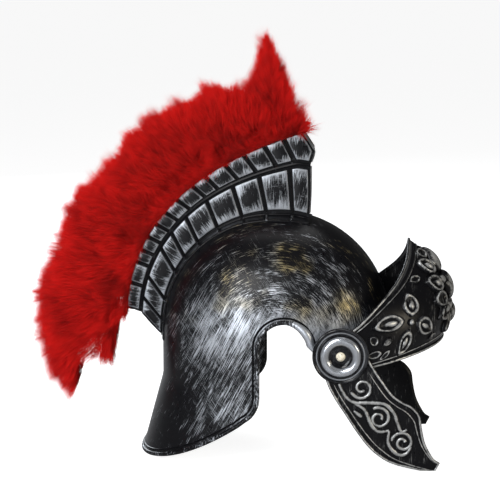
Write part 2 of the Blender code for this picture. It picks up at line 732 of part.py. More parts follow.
def make_cheek_guard(name, side, look):
    """A pointed plate on a flat disc, with a raised border and a running scroll."""
    pivot = (PIVOT_X, 0.0, PIVOT_Z)
    rows = len(CHEEK_STATIONS) - 1
    sheet = mapped_grid(
        rows, CHEEK_COLUMNS,
        lambda along, across: cheek_place(along, across, side),
        lambda centre: Vector((0.0, side, 0.0)),
    )
    guard = piece(f"cheek_guard_{name}", to_mesh(f"cheek_guard_{name}", sheet), look, pivot)
    thicken(guard, CHEEK_WALL)
    far = CHEEK_INNER_Y + CHEEK_DISC_THICKNESS
    combine(guard, cross_disc(f"cheek_disc_{name}", CHEEK_DISC_RADIUS, CHEEK_INNER_Y, far, side), "UNION")

    rear = [cheek_place(0.14 + 0.82 * i / 12, 0.07, side) for i in range(13)]
    front = [cheek_place(0.14 + 0.82 * i / 12, 0.93, side) for i in range(13)]
    lines = [rear + front[::-1]]
    for centre_x, centre_z, radius, start, turns in VINE_VOLUTES:
        scroll = []
        for step in range(12):
            t = step / 11
            angle = math.radians(start) + 2 * math.pi * turns * t
            spread = CHEEK_LENGTH * radius * (1.0 - 0.80 * t)
            x = CHEEK_LENGTH * centre_x + spread * math.cos(angle)
            z = CHEEK_LENGTH * centre_z + spread * math.sin(angle)
            scroll.append(cheek_surface(x, z, side))
        lines.append(scroll)
    relief = helper(f"cheek_relief_{name}", tubes(f"cheek_relief_{name}", lines, VINE_RADIUS, 4), pivot)
    combine(guard, relief, "UNION")
    guard.modifiers[-1].use_self = True
    combine(guard, bores[name], "DIFFERENCE")
    combine(guard, ground, "DIFFERENCE")
    return guard


def turned(name, profile, side, start_y, look, closed):
    """A turned piece on a pivot, its profile given as radius and height outwards from start_y."""
    bm = bmesh.new()
    verts = [bm.verts.new((radius, 0.0, height)) for radius, height in profile]
    for first, second in zip(verts, verts[1:]):
        bm.edges.new((first, second))
    if closed:
        bm.edges.new((verts[-1], verts[0]))
    made = piece(name, to_mesh(name, bm), look, (PIVOT_X, side * start_y, PIVOT_Z))
    made.rotation_euler = (-side * math.pi / 2, 0.0, 0.0)
    screw = made.modifiers.new("turn", "SCREW")
    screw.steps = screw.render_steps = ROUND_SIDES
    screw.use_merge_vertices = True
    screw.merge_threshold = 1e-5
    return made


def make_boss(name, side, look):
    """A round boss with a raised rim, a groove, a thick ring and a dished middle."""
    profile = [(RIVET_HOLE_RADIUS, BOSS_FLOOR), (0.33 * BOSS_RADIUS, BOSS_FLOOR)]
    profile += [(BOSS_RADIUS * r, BOSS_RISE * h) for r, h in reversed(BOSS_PROFILE)]
    ring = ((0.79, 0.26), (0.84, 0.46), (0.89, 0.28), (0.95, 0.48), (1.0, 0.24))
    profile += [(BOSS_RADIUS * r, BOSS_RISE * h) for r, h in ring]
    profile += [(BOSS_RADIUS, 0.0), (RIVET_HOLE_RADIUS, 0.0)]
    return turned(f"pivot_boss_{name}", profile, side, BOSS_BACK_Y, look, True)


def make_rivet(name, side, look):
    """A domed rivet that holds boss, cheek guard and visor lug on the shell's post."""
    tail = POST_INNER_Y - CLEARANCE
    seat = BOSS_BACK_Y + BOSS_FLOOR + CLEARANCE - tail
    dome = [(RIVET_HEAD_RADIUS * math.sin(math.radians(a)), seat + RIVET_HEAD_RISE * math.cos(math.radians(a)))
            for a in (0, 30, 60, 82)]
    profile = dome + [
        (RIVET_HEAD_RADIUS, seat), (RIVET_RADIUS, seat), (RIVET_RADIUS, 0.0),
        (RIVET_TAIL_RADIUS, 0.0), (RIVET_TAIL_RADIUS, -RIVET_TAIL_THICKNESS), (0.0, -RIVET_TAIL_THICKNESS),
    ]
    return turned(f"pivot_rivet_{name}", profile, side, tail, look, False)


for old in list(bpy.data.objects):
    bpy.data.objects.remove(old)

helmet = collection("legionary_helmet", True)
helpers = collection("helpers", False)
SIDES = (("right", -1.0), ("left", 1.0))

antique_silver = (0.30, 0.31, 0.33)
bores = {name: cross_disc(f"bore_{name}", RIVET_HOLE_RADIUS, 0.05, 0.12, side) for name, side in SIDES}
ground_mesh = bmesh.new()
bmesh.ops.create_cube(ground_mesh, size=1.0, matrix=Matrix.Translation((0.0, 0.0, -0.5)))
ground = helper("ground", to_mesh("ground", ground_mesh))

make_bowl(material("bowl", (0.10, 0.10, 0.11), 0.35, 0.8))
make_crest_box(material("crest_box", antique_silver, 0.35, 0.9))
make_plume(material("plume", (0.55, 0.01, 0.01), 0.9, 0.0))
make_visor(material("brow_visor", antique_silver, 0.4, 0.9))
for side_name, side_sign in SIDES:
    make_cheek_guard(side_name, side_sign, material(f"cheek_guard_{side_name}", antique_silver, 0.4, 0.9))
    make_boss(side_name, side_sign, material(f"pivot_boss_{side_name}", antique_silver, 0.35, 0.9))
    make_rivet(side_name, side_sign, material(f"pivot_rivet_{side_name}", (0.85, 0.82, 0.70), 0.4, 0.0))
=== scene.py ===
"""Roman legionary helmet: black plastic brushed with silver, and a crest of red feather.

Metres, in the frame of the CAD: +Z up, +X to the face opening, -Y the wearer's right side, which
the camera looks at. Each section makes one piece, in the order of putting the helmet together.
"""

import math

import bmesh
import bpy
import numpy as np
from mathutils import Matrix, Vector, kdtree


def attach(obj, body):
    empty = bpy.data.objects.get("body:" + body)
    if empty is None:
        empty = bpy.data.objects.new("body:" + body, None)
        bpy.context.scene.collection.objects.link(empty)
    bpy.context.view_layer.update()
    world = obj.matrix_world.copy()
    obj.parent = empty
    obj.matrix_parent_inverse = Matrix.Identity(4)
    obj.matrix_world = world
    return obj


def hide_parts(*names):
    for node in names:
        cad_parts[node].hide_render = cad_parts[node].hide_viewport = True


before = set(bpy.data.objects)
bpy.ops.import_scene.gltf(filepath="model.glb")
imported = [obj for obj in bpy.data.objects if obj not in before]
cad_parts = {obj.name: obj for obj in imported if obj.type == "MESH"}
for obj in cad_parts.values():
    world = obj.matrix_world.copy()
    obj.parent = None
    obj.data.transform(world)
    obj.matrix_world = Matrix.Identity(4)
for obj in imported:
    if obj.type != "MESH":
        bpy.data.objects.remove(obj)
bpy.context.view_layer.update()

# Bowl: dome and neck guard are one thin shell of moulded black plastic, open below and in front,
# with an arch cut out for each ear. Fine silver is dragged over the black with a dry brush.
DOME_X = 0.031
DOME_HALF_LENGTH = 0.114
DOME_HALF_WIDTH = 0.088
DOME_RISE = 0.115
SKIRT_HEIGHT = 0.125
PLAN_POWER = 2.5
SHELL_WALL = 0.0022
NECK_FLARE = 0.021
NECK_SPREAD = 0.004
NECK_FLARE_HEIGHT = 0.077
RIM_RADIUS = 0.0022
RIM_LIFT = 0.0016
NECK_EDGE_RISE = 0.046
NECK_EDGE_POWER = 1.6
NECK_CORNER_RADIUS = 0.025
EAR_REAR_X = 0.0155
EAR_CORNER_Z = 0.070
EAR_ARCH_Z = 0.119
EAR_ARCH_RADIUS = 0.0255
TEMPLE_LOBE_RADIUS = 0.0175
BROW_Z = 0.118
PIVOT_X = 0.095
PIVOT_Z = 0.114
EDGE_MARGIN = 0.02
EDGE_REACH = 0.12
BROW_END_X = 0.19
BOWL_SIDES = 144
BOWL_RINGS = 28


def section(height, grow=0.0):
    """The shell's half-length and half-width at a height."""
    if height >= SKIRT_HEIGHT:
        share = min(1.0, (height - SKIRT_HEIGHT) / (DOME_RISE + grow))
        narrowing = math.sqrt(1.0 - share * share)
        return (DOME_HALF_LENGTH + grow) * narrowing, (DOME_HALF_WIDTH + grow) * narrowing
    flare = max(0.0, 1.0 - height / NECK_FLARE_HEIGHT)
    half_length = DOME_HALF_LENGTH + grow + NECK_FLARE * flare
    return half_length, DOME_HALF_WIDTH + grow + NECK_SPREAD * flare


def power_of(value):
    """The signed power that turns a circle into the shell's plan outline."""
    return math.copysign(abs(value) ** (2.0 / PLAN_POWER), value)


def shell_point(azimuth, height):
    """The point of the shell's outer surface at a plan angle and a height."""
    half_length, half_width = section(height)
    x = DOME_X + half_length * power_of(math.cos(azimuth))
    return Vector((x, half_width * power_of(math.sin(azimuth)), height))


def shell_side(x, z):
    """How far from the middle plane the shell lies at a point of the side view."""
    half_length, half_width = section(z)
    share = min(1.0, abs(x - DOME_X) / half_length)
    return half_width * (1.0 - share**PLAN_POWER) ** (1.0 / PLAN_POWER)


def shell_normal(place):
    """The direction straight out of the shell at a place on it."""
    def reach(x, y, z):
        half_length, half_width = section(z)
        return (abs(x - DOME_X) / half_length) ** PLAN_POWER + (abs(y) / half_width) ** PLAN_POWER
    step = 1e-4
    x, y, z = place
    return Vector((
        reach(x + step, y, z) - reach(x - step, y, z),
        reach(x, y + step, z) - reach(x, y - step, z),
        reach(x, y, z + step) - reach(x, y, z - step),
    )).normalized()


def arc(centre, radius, start, end, steps):
    """Points along an arc of the side view, with its angles in degrees."""
    angles = [math.radians(start + (end - start) * i / steps) for i in range(steps + 1)]
    return [(centre[0] + radius * math.cos(a), centre[1] + radius * math.sin(a)) for a in angles]


def neck_edge(x):
    """Height of the neck guard's lower edge at a place along the helmet."""
    rear_x = DOME_X - DOME_HALF_LENGTH - NECK_FLARE
    front_x = EAR_REAR_X - NECK_CORNER_RADIUS / 2
    share = max(0.0, min(1.0, (x - rear_x) / (front_x - rear_x)))
    return RIM_LIFT + NECK_EDGE_RISE * share**NECK_EDGE_POWER


def ear_line():
    """Side view of the shell's edge from the neck guard's front corner to the brow."""
    corner = arc((EAR_REAR_X - NECK_CORNER_RADIUS, EAR_CORNER_Z), NECK_CORNER_RADIUS, -60, 0, 12)
    arch = arc((EAR_REAR_X + EAR_ARCH_RADIUS, EAR_ARCH_Z), EAR_ARCH_RADIUS, 180, 10, 36)
    lobe = arc((PIVOT_X, PIVOT_Z), TEMPLE_LOBE_RADIUS, 200, 355, 24)
    return corner + arch + lobe


class Field:
    """What a socket gives out over a surface; sums written with it lay math nodes."""

    def __init__(self, socket):
        self.socket = socket

    def math(self, operation, *others):
        return add_node("Math", self, (self, *others), operation=operation)[0]

    def __add__(self, other):
        return self.math("ADD", other)

    def __sub__(self, other):
        return self.math("SUBTRACT", other)

    def __rsub__(self, other):
        return self.math("MULTIPLY_ADD", -1.0, other)

    def __mul__(self, other):
        return self.math("MULTIPLY", other)

    def __truediv__(self, other):
        return self.math("DIVIDE", other)


def plug(value, socket):
    """Feeds a socket from a field, or sets its number."""
    if isinstance(value, Field):
        socket.id_data.links.new(value.socket, socket)
    else:
        socket.default_value = value


def add_node(kind, beside, values=(), **settings):
    """What a new node in a field's tree gives out; values feed its inputs by name or by place."""
    made = beside.socket.id_data.nodes.new(f"ShaderNode{kind}")
    for key, value in settings.items():
        setattr(made, key, value)
    for key, value in values.items() if isinstance(values, dict) else enumerate(values):
        plug(value, made.inputs[key])
    return [Field(socket) for socket in made.outputs]


def ramp_between(value, low, high):
    """Nothing below low, all above high, and a soft step between them."""
    return add_node("MapRange", value, (value, low, high), interpolation_type="SMOOTHSTEP")[0]


def blend_of(share, first, second):
    """A mix of two colours."""
    return add_node("Mix", share, {0: share, 6: first, 7: second}, data_type="RGBA")[2]


def noise_of(vector, scale, detail, roughness=0.6):
    """A cloudy value around one half."""
    values = {"Vector": vector, "Scale": scale, "Detail": detail, "Roughness": roughness}
    return add_node("TexNoise", vector, values)[0]


def parts_of(vector):
    """The three numbers of a vector."""
    return add_node("SeparateXYZ", vector, (vector,))


def new_group(name, inputs, outputs):
    """An empty node group with named sockets, what it is given and what it puts out."""
    group = bpy.data.node_groups.new(name, "ShaderNodeTree")
    for label, kind, value in inputs:
        socket = group.interface.new_socket(label, in_out="INPUT", socket_type=f"NodeSocket{kind}")
        socket.default_value = value
    for label, kind in outputs:
        group.interface.new_socket(label, in_out="OUTPUT", socket_type=f"NodeSocket{kind}")
    entry = group.nodes.new("NodeGroupInput")
    given = {socket.name: Field(socket) for socket in entry.outputs}
    return group, given, group.nodes.new("NodeGroupOutput").inputs


# Brush strokes: how much silver a dry brush leaves, from a place along and across the stroke
strokes_group, given, out = new_group(
    "brush_strokes",
    (
        ("Along", "Float", 0.0), ("Across", "Float", 0.0), ("Depth", "Float", 0.0),
        ("Length", "Float", 0.03), ("Width", "Float", 0.0006), ("Coverage", "Float", 0.5),
    ),
    (("Strokes", "Float"),),
)
along, across, depth = (given[name] for name in ("Along", "Across", "Depth"))
fine = (along / given["Length"], across / given["Width"], depth / given["Length"])
coarse = (along * 30.0, across * 90.0, depth * 60.0)
hairs = noise_of(add_node("CombineXYZ", along, fine)[0], 1.0, 3.0, 0.7)
patches = (noise_of(add_node("CombineXYZ", along, coarse)[0], 1.0, 3.0) - 0.5) * 0.55
plug(ramp_between(hairs + patches + given["Coverage"] - 0.5, 0.47, 0.65), out["Strokes"])

# Antique silver: the colour and gloss of black plastic under a share of silver paint
PAINT_DEPTH = 0.0003
BLACK_PLASTIC = (0.004, 0.004, 0.005, 1.0)
COOL_SILVER = (0.58, 0.61, 0.66, 1.0)
WARM_SILVER = (0.52, 0.43, 0.22, 1.0)
silver_group, given, out = new_group(
    "antique_silver",
    (("Silver", "Float", 0.5), ("Place", "Vector", (0.0, 0.0, 0.0)), ("Warmth", "Float", 0.0)),
    (("Color", "Color"), ("Roughness", "Float"), ("Metallic", "Float")),
)
paint = blend_of(given["Warmth"], COOL_SILVER, WARM_SILVER)
plug(blend_of(given["Silver"], BLACK_PLASTIC, paint), out["Color"])
smudges = (noise_of(given["Place"], 140.0, 3.0) - 0.5) * 0.16
plug(given["Silver"] * 0.10 + 0.30 + smudges, out["Roughness"])
plug(given["Silver"] * 0.9, out["Metallic"])


def use_group(group, **inputs):
    """Places a group in the tree of the first thing that it is given."""
    return add_node("Group", next(iter(inputs.values())), inputs, node_tree=group)


def new_finish(name, roughness=0.5, coat=0.03, gloss=0.14):
    """A material with its shader and its object coordinates."""
    made = bpy.data.materials.new(name)
    made.use_nodes = True
    shader = made.node_tree.nodes["Principled BSDF"]
    plug(roughness, shader.inputs["Roughness"])
    plug(gloss, shader.inputs["Specular IOR Level"])
    plug(coat, shader.inputs["Coat Weight"])
    plug(0.12, shader.inputs["Coat Roughness"])
    return made, shader, Field(made.node_tree.nodes.new("ShaderNodeTexCoord").outputs["Object"])


def add_bump(shader, height, distance, strength):
    """Lets a height stand proud of a shader's surface."""
    values = {"Distance": distance, "Strength": strength, "Height": height}
    plug(add_node("Bump", height, values)[0], shader.inputs["Normal"])


def lay_silver(shader, place, silver, warmth=0.0, bump=0.12, polish=0.0):
    """Feeds a shader with antique silver, its paint a little proud of the plastic."""
    colour, roughness, metallic = use_group(silver_group, Silver=silver, Place=place, Warmth=warmth)
    plug(colour, shader.inputs["Base Color"])
    plug(roughness - polish, shader.inputs["Roughness"])
    plug(metallic, shader.inputs["Metallic"])
    add_bump(shader, noise_of(place, 900.0, 2.0) * 0.5 + silver, PAINT_DEPTH, bump)


def round_from(x, z, centre_x, centre_z, radius):
    """How far out from a centre of the side view a place lies, and how far round it at a radius."""
    fore, above = x - centre_x, z - centre_z
    return (fore * fore + above * above).math("SQRT"), above.math("ARCTAN2", fore) * radius


STROKE_LEAN = math.radians(62)
CROSS_LEAN = 0.8
SHELL_COVERAGE = 0.335
SHELL_STROKE_WIDTH = 0.0006
SHELL_SILVER = 0.78
# Zones of silver paint and painted highlight, each from where it is bare to where it is full, in
# metres
HIGHLIGHT_MIDDLE_ZONE = (0.118, 0.066)
HIGHLIGHT_BAND_TOP = (0.182, 0.140)
HIGHLIGHT_BAND_FOOT = (0.090, 0.122)
SKIRT_ZONE = (0.13, 0.02)
SKIRT_REAR = (-0.080, -0.030)
CURVED_ZONE = (0.135, 0.185)
WARM_ZONE = (0.135, 0.160)

shell_finish, shader, place = new_finish("shell_finish")
x, y, z = parts_of(place)
from_centre, round_centre = round_from(x, z, DOME_X, SKIRT_HEIGHT, DOME_HALF_LENGTH)
along = x * math.cos(STROKE_LEAN) + z * math.sin(STROKE_LEAN)
across = z * math.cos(STROKE_LEAN) - x * math.sin(STROKE_LEAN)
# More silver round the middle of the dome's side and in a band where the highlight falls:
# dry-brushed paint and painted highlight
middle = ramp_between(from_centre, *HIGHLIGHT_MIDDLE_ZONE)
band = ramp_between(z, *HIGHLIGHT_BAND_TOP) * ramp_between(z, *HIGHLIGHT_BAND_FOOT)
coverage = middle * 0.09 + SHELL_COVERAGE + middle * band * 0.11
coverage += ramp_between(z, *SKIRT_ZONE) * ramp_between(x, *SKIRT_REAR) * 0.09
slanted = use_group(strokes_group, Along=along, Across=across, Depth=y,
                    Length=0.020, Width=SHELL_STROKE_WIDTH, Coverage=coverage)[0]
curved = use_group(strokes_group, Along=round_centre, Across=from_centre, Depth=y,
                   Length=0.018, Width=SHELL_STROKE_WIDTH, Coverage=coverage)[0]
crossed = use_group(strokes_group, Along=z - x * CROSS_LEAN, Across=x + z * CROSS_LEAN, Depth=y,
                    Length=0.016, Width=0.0005, Coverage=coverage - 0.04)[0]
rounder = ramp_between(x * 0.35 + z, *CURVED_ZONE)
main = curved * rounder + slanted * (1.0 - rounder)
warm = ramp_between(noise_of(place, 20.0, 2.0), 0.44, 0.60) * ramp_between(z, *WARM_ZONE)
lay_silver(shader, place, main.math("MAXIMUM", crossed * 0.55) * SHELL_SILVER, warm)


def new_object(name, made, finish, crease=38.0):
    """A finished piece from a bmesh or a mesh, smooth but for its hard edges."""
    mesh = made
    if isinstance(made, bmesh.types.BMesh):
        mesh = bpy.data.meshes.new(name)
        made.to_mesh(mesh)
        made.free()
    mesh.materials.clear()
    mesh.materials.append(finish)
    mesh.shade_smooth()
    mesh.set_sharp_from_angle(angle=math.radians(crease))
    piece = bpy.data.objects.new(name, mesh)
    bpy.context.scene.collection.objects.link(piece)
    return piece
def give_wall(piece, thickness, even=False):
    """Gives a sheet its thickness, inwards from the side that shows."""
    wall = piece.modifiers.new("wall", "SOLIDIFY")
    wall.thickness = thickness
    wall.offset = -1.0
    wall.use_even_offset = even

def apply_modifiers(piece):
    """Leaves the shape that a piece's modifiers give as its own mesh."""
    bpy.context.view_layer.update()
    graph = bpy.context.evaluated_depsgraph_get()
    mesh = bpy.data.meshes.new_from_object(piece.evaluated_get(graph))
    piece.modifiers.clear()
    piece.data = mesh


def prism(outline, near_y, far_y):
    """A solid with an outline of (x, z) pairs between two distances from the middle plane."""
    bm = bmesh.new()
    face = bm.faces.new([bm.verts.new((x, near_y, z)) for x, z in outline])
    grown = bmesh.ops.extrude_face_region(bm, geom=[face])["geom"]
    far = [made for made in grown if isinstance(made, bmesh.types.BMVert)]
    bmesh.ops.translate(bm, vec=(0.0, far_y - near_y, 0.0), verts=far)
    bmesh.ops.recalc_face_normals(bm, faces=bm.faces)
    return bm


bm = bmesh.new()
bmesh.ops.create_uvsphere(bm, u_segments=BOWL_SIDES, v_segments=2 * BOWL_RINGS, radius=1.0)
bmesh.ops.delete(bm, geom=[v for v in bm.verts if v.co.z < -0.9999], context="VERTS")
for vert in bm.verts:
    latitude = math.asin(max(-1.0, min(1.0, vert.co.z)))
    azimuth = math.atan2(vert.co.y, vert.co.x)
    if vert.co.z > 0.99999:
        vert.co = (DOME_X, 0.0, SKIRT_HEIGHT + DOME_RISE)
    elif latitude > 1e-6:
        vert.co = shell_point(azimuth, SKIRT_HEIGHT + DOME_RISE * math.sin(latitude))
    else:
        sink = latitude / (math.pi / 2) * BOWL_RINGS / (BOWL_RINGS - 1)
        vert.co = shell_point(azimuth, SKIRT_HEIGHT * (1.0 + sink))
bmesh.ops.recalc_face_normals(bm, faces=bm.faces)
bowl = new_object("bowl_shell", bm, shell_finish)
give_wall(bowl, SHELL_WALL, even=True)

rear_x = DOME_X - DOME_HALF_LENGTH - NECK_FLARE
front_x = EAR_REAR_X - NECK_CORNER_RADIUS / 2 - RIM_RADIUS
neck = [rear_x + (front_x - rear_x) * i / 24 for i in range(25)]
outline = [(rear_x - EDGE_MARGIN, -EDGE_MARGIN), (rear_x - EDGE_MARGIN, RIM_LIFT)]
outline += [(x, neck_edge(x)) for x in neck] + ear_line()
outline += [(PIVOT_X + TEMPLE_LOBE_RADIUS + RIM_RADIUS, BROW_Z), (BROW_END_X, BROW_Z)]
outline += [(BROW_END_X, -EDGE_MARGIN)]
cutter = new_object("edge_cutter", prism(outline, -EDGE_REACH, EDGE_REACH), shell_finish)
cut = bowl.modifiers.new("edge", "BOOLEAN")
cut.operation = "DIFFERENCE"
cut.solver = "EXACT"
cut.object = cutter
apply_modifiers(bowl)
bpy.data.objects.remove(cutter)
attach(bowl, "helmet")
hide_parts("bowl")

# Rim: the shell's edge is rolled into a round bead, wider and brighter down the front of the ear
# arch. A dark line follows it on the outside, where the black has pooled beside the roll.
RIM_FRONT_SWELL = 1.1
RIM_FRONT_X = 0.062
RIM_FRONT_REACH = 0.018
RIM_FRONT_LOW = 0.05
RIM_FRONT_HIGH = 0.146
RIM_WORN_REAR = (0.045, 0.06)
RIM_WORN_FRONT = (0.12, 0.10)
GROOVE_OFFSET = 0.0043
GROOVE_RADIUS = 0.0011


def right_rim():
    """The shell's edge down its right side, from the middle of the neck to that of the brow."""
    rim = []
    for step in range(40):
        azimuth = math.radians(180 - 80 * step / 40)
        z = RIM_LIFT
        for _ in range(20):
            z = neck_edge(shell_point(azimuth, z).x)
        place = shell_point(azimuth, z)
        if place.x < EAR_REAR_X - NECK_CORNER_RADIUS / 2 - 2 * RIM_RADIUS:
            rim.append(Vector((place.x, -place.y, place.z)))
    rim += [Vector((x, -shell_side(x, z), z)) for x, z in ear_line()]
    for step in range(25):
        place = shell_point(math.radians(50) * (1 - step / 24), BROW_Z)
        if place.x > PIVOT_X + TEMPLE_LOBE_RADIUS + RIM_RADIUS:
            rim.append(Vector((place.x, -place.y, place.z)))
    return rim


def tubes(name, paths, radius, finish, sides=12, cyclic=False, swell=None):
    """Round rods along lists of points; swell gives each point's share of the radius."""
    curve = bpy.data.curves.new(name, "CURVE")
    curve.dimensions = "3D"
    curve.bevel_depth = radius
    curve.bevel_resolution = (sides - 4) // 2
    curve.use_fill_caps = not cyclic
    for number, path in enumerate(paths):
        spline = curve.splines.new("POLY")
        spline.points.add(len(path) - 1)
        for index, (control, place) in enumerate(zip(spline.points, path)):
            control.co = (*place, 1.0)
            control.radius = swell[number][index] if swell else 1.0
        spline.use_cyclic_u = cyclic
    guide = bpy.data.objects.new(name, curve)
    bpy.context.scene.collection.objects.link(guide)
    bpy.context.view_layer.update()
    graph = bpy.context.evaluated_depsgraph_get()
    mesh = bpy.data.meshes.new_from_object(guide.evaluated_get(graph))
    bpy.data.objects.remove(guide)
    bm = bmesh.new()
    bm.from_mesh(mesh)
    bmesh.ops.remove_doubles(bm, verts=bm.verts, dist=1e-6)
    for vert in bm.verts:
        vert.co.z = max(0.0, vert.co.z)
    bmesh.ops.recalc_face_normals(bm, faces=bm.faces)
    return new_object(name, bm, finish)


rim_finish, shader, place = new_finish("rim_finish")
x, y, z = parts_of(place)
wear_and_highlight = ramp_between(x, *RIM_WORN_REAR) * ramp_between(x, *RIM_WORN_FRONT)
strokes = use_group(strokes_group, Along=z, Across=x, Depth=y, Length=0.004, Width=0.0012,
                    Coverage=wear_and_highlight * 0.45 + 0.43)[0]
lay_silver(shader, place, strokes * 0.92)

right = right_rim()
rim = right + [Vector((p.x, -p.y, p.z)) for p in reversed(right[1:-1])]
swell = []
for place in rim:
    beside_arch = max(0.0, 1.0 - abs(place.x - RIM_FRONT_X) / RIM_FRONT_REACH)
    swell.append(1.0 + RIM_FRONT_SWELL * beside_arch * (RIM_FRONT_LOW < place.z < RIM_FRONT_HIGH))
bead = tubes("rim_bead", [rim], RIM_RADIUS, rim_finish, cyclic=True, swell=[swell])
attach(bead, "helmet")

black_finish, shader, place = new_finish("black_finish", coat=0.0, gloss=0.1)
lay_silver(shader, place, ramp_between(noise_of(place, 260.0, 3.0), 0.60, 0.75) * 0.06)

groove = []
for index, place in enumerate(rim):
    ahead = (rim[(index + 1) % len(rim)] - rim[index - 1]).normalized()
    groove.append(place + shell_normal(place).cross(ahead) * GROOVE_OFFSET)
line = tubes("rim_groove", [groove], GROOVE_RADIUS, black_finish, sides=8, cyclic=True)
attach(line, "helmet")

# Posts: a round boss inside each temple carries the pivot and the rivet passes through it. It is
# moulded on the shell, and shows only from inside and from below.
POST_RADIUS = 0.009
POST_INNER_Y = 0.071
POST_FACE_Y = 0.0872
POST_FOOT_EDGE = 0.0006
POST_HEAD_EDGE = 0.0004
RIVET_HOLE_RADIUS = 0.0036
PIVOT_GAP = 0.0003


def turned(name, profile, side, start_y, finish, steps=48):
    """A turned piece on a pivot, from (radius, height) pairs that go outwards from start_y."""
    bm = bmesh.new()
    verts = [bm.verts.new((radius, 0.0, height)) for radius, height in profile]
    edges = [bm.edges.new(pair) for pair in zip(verts, verts[1:])]
    bmesh.ops.spin(bm, geom=verts + edges, cent=(0.0, 0.0, 0.0), axis=(0.0, 0.0, 1.0),
                   angle=2 * math.pi, steps=steps, use_merge=True)
    bmesh.ops.remove_doubles(bm, verts=bm.verts, dist=1e-6)
    turn = Matrix.Rotation(-side * math.pi / 2, 4, "X")
    place = Matrix.Translation((PIVOT_X, side * start_y, PIVOT_Z)) @ turn
    bmesh.ops.transform(bm, matrix=place, verts=bm.verts)
    bmesh.ops.recalc_face_normals(bm, faces=bm.faces)
    return new_object(name, bm, finish)


SIDES = (("right", -1.0), ("left", 1.0))
for side_name, side in SIDES:
    depth = POST_FACE_Y - POST_INNER_Y
    ring = [
        (RIVET_HOLE_RADIUS, 0.0), (POST_RADIUS - POST_FOOT_EDGE, 0.0),
        (POST_RADIUS, POST_FOOT_EDGE), (POST_RADIUS, depth - POST_HEAD_EDGE),
        (POST_RADIUS - POST_HEAD_EDGE, depth),
        (RIVET_HOLE_RADIUS, depth), (RIVET_HOLE_RADIUS, 0.0),
    ]
    post = turned(f"post_{side_name}", ring, side, POST_INNER_Y, shell_finish)
    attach(post, "helmet")

# Crest flange: a low strip over the dome, moulded with it, on which the crest box stands. Faint
# silver ribs cross it where the box has its lower dividers: a painted reflection of its plates in
# the glossy dome, read as a third row of plates.
FLANGE_HALF_WIDTH = 0.030
FLANGE_RISE = 0.001
FLANGE_OVERRUN = 1.5
FLANGE_REFLECTION_RIB_RADIUS = 0.0012
CREST_HALF_WIDTH = 0.016
CREST_REAR_HEIGHT = 0.036
CREST_SLOPE_RISE = 0.020
CREST_FRONT_RISE = 0.025
CREST_TOP_FRONT = 82.7
CREST_TOP_REAR = 173.0
CREST_ENDS = (
    # height share, front, rear: degrees round the dome's centre
    (0.00, 73.9, 184.5),
    (0.62, 78.6, 173.7),
    (0.80, 78.1, 173.3),
    (1.00, 82.7, 173.0),
)
ROW_SPLIT = 0.62
UPPER_DIVIDERS = (
    0.06, 0.125, 0.20, 0.275, 0.36, 0.42, 0.50, 0.568, 0.627, 0.688, 0.747, 0.80, 0.89,
)
LOWER_DIVIDERS = (0.075, 0.19, 0.30, 0.42, 0.53, 0.62, 0.70, 0.835, 0.93)


def surface_radius(angle, y, grow=0.0):
    """Distance from the dome's centre line to its surface, at degrees and a distance y aside."""
    inside, outside = 0.0, 2.0 * DOME_HALF_LENGTH
    turn = math.radians(angle)
    for _ in range(30):
        middle = (inside + outside) / 2
        x, z = middle * math.cos(turn), SKIRT_HEIGHT + middle * math.sin(turn)
        half_length, half_width = section(z, grow)
        reach = 2.0
        if half_length > 0.0:
            reach = (abs(x) / half_length) ** PLAN_POWER + (abs(y) / half_width) ** PLAN_POWER
        if reach < 1.0 and z < SKIRT_HEIGHT + DOME_RISE + grow:
            inside = middle
        else:
            outside = middle
    return inside


def polar(angle, radius):
    """A point of the side view at degrees and a distance round the dome's centre."""
    turn = math.radians(angle)
    return DOME_X + radius * math.cos(turn), SKIRT_HEIGHT + radius * math.sin(turn)


def crest_height(angle):
    """Height of the crest box above the dome at an angle in degrees."""
    left = 1.0 - max(0.0, min(1.0, (angle - CREST_TOP_FRONT) / (CREST_TOP_REAR - CREST_TOP_FRONT)))
    return CREST_REAR_HEIGHT + CREST_SLOPE_RISE * left + CREST_FRONT_RISE * left**5


def crest_limits(height_share):
    """Front and rear ends of the crest box, in degrees, at a share of its height."""
    for lower, upper in zip(CREST_ENDS, CREST_ENDS[1:]):
        if height_share <= upper[0]:
            part = max(0.0, (height_share - lower[0]) / (upper[0] - lower[0]))
            return tuple(lower[i] + (upper[i] - lower[i]) * part for i in (1, 2))
    return CREST_ENDS[-1][1:]


def crest_point(height_share, along, y):
    """A point at shares of the crest box's height and length, at a distance y aside."""
    front, rear = crest_limits(height_share)
    angle = front + (rear - front) * along
    if height_share <= 0.0:
        radius = surface_radius(angle, y)
    else:
        radius = surface_radius(angle, 0.0) + height_share * crest_height(angle)
    x, z = polar(angle, radius)
    return Vector((x, y, z))


def flange_point(along, y, rise=FLANGE_RISE):
    """A point on the flange, from its front end to its rear end."""
    front, rear = crest_limits(0.0)
    angle = front - FLANGE_OVERRUN + (rear - front + 2 * FLANGE_OVERRUN) * along
    x, z = polar(angle, surface_radius(angle, y, rise))
    return Vector((x, y, z))


def sheet_of(lengthways, crossways, place_of, outwards):
    """A sheet laid out by shares from 0 to 1 of its two ways, its faces outwards on the whole."""
    bm = bmesh.new()
    bmesh.ops.create_grid(bm, x_segments=lengthways, y_segments=crossways, size=1.0)
    for vert in bm.verts:
        vert.co = place_of((vert.co.x + 1.0) / 2.0, (vert.co.y + 1.0) / 2.0)
    bm.normal_update()
    if sum(face.normal.dot(outwards) for face in bm.faces) < 0.0:
        bmesh.ops.reverse_faces(bm, faces=bm.faces)
    return bm


bm = sheet_of(
    72, 24, lambda u, v: flange_point(u, FLANGE_HALF_WIDTH * (2 * v - 1)), Vector((0, 0, 1))
)
flange = new_object("crest_flange", bm, shell_finish)
give_wall(flange, 1.5 * FLANGE_RISE)
apply_modifiers(flange)
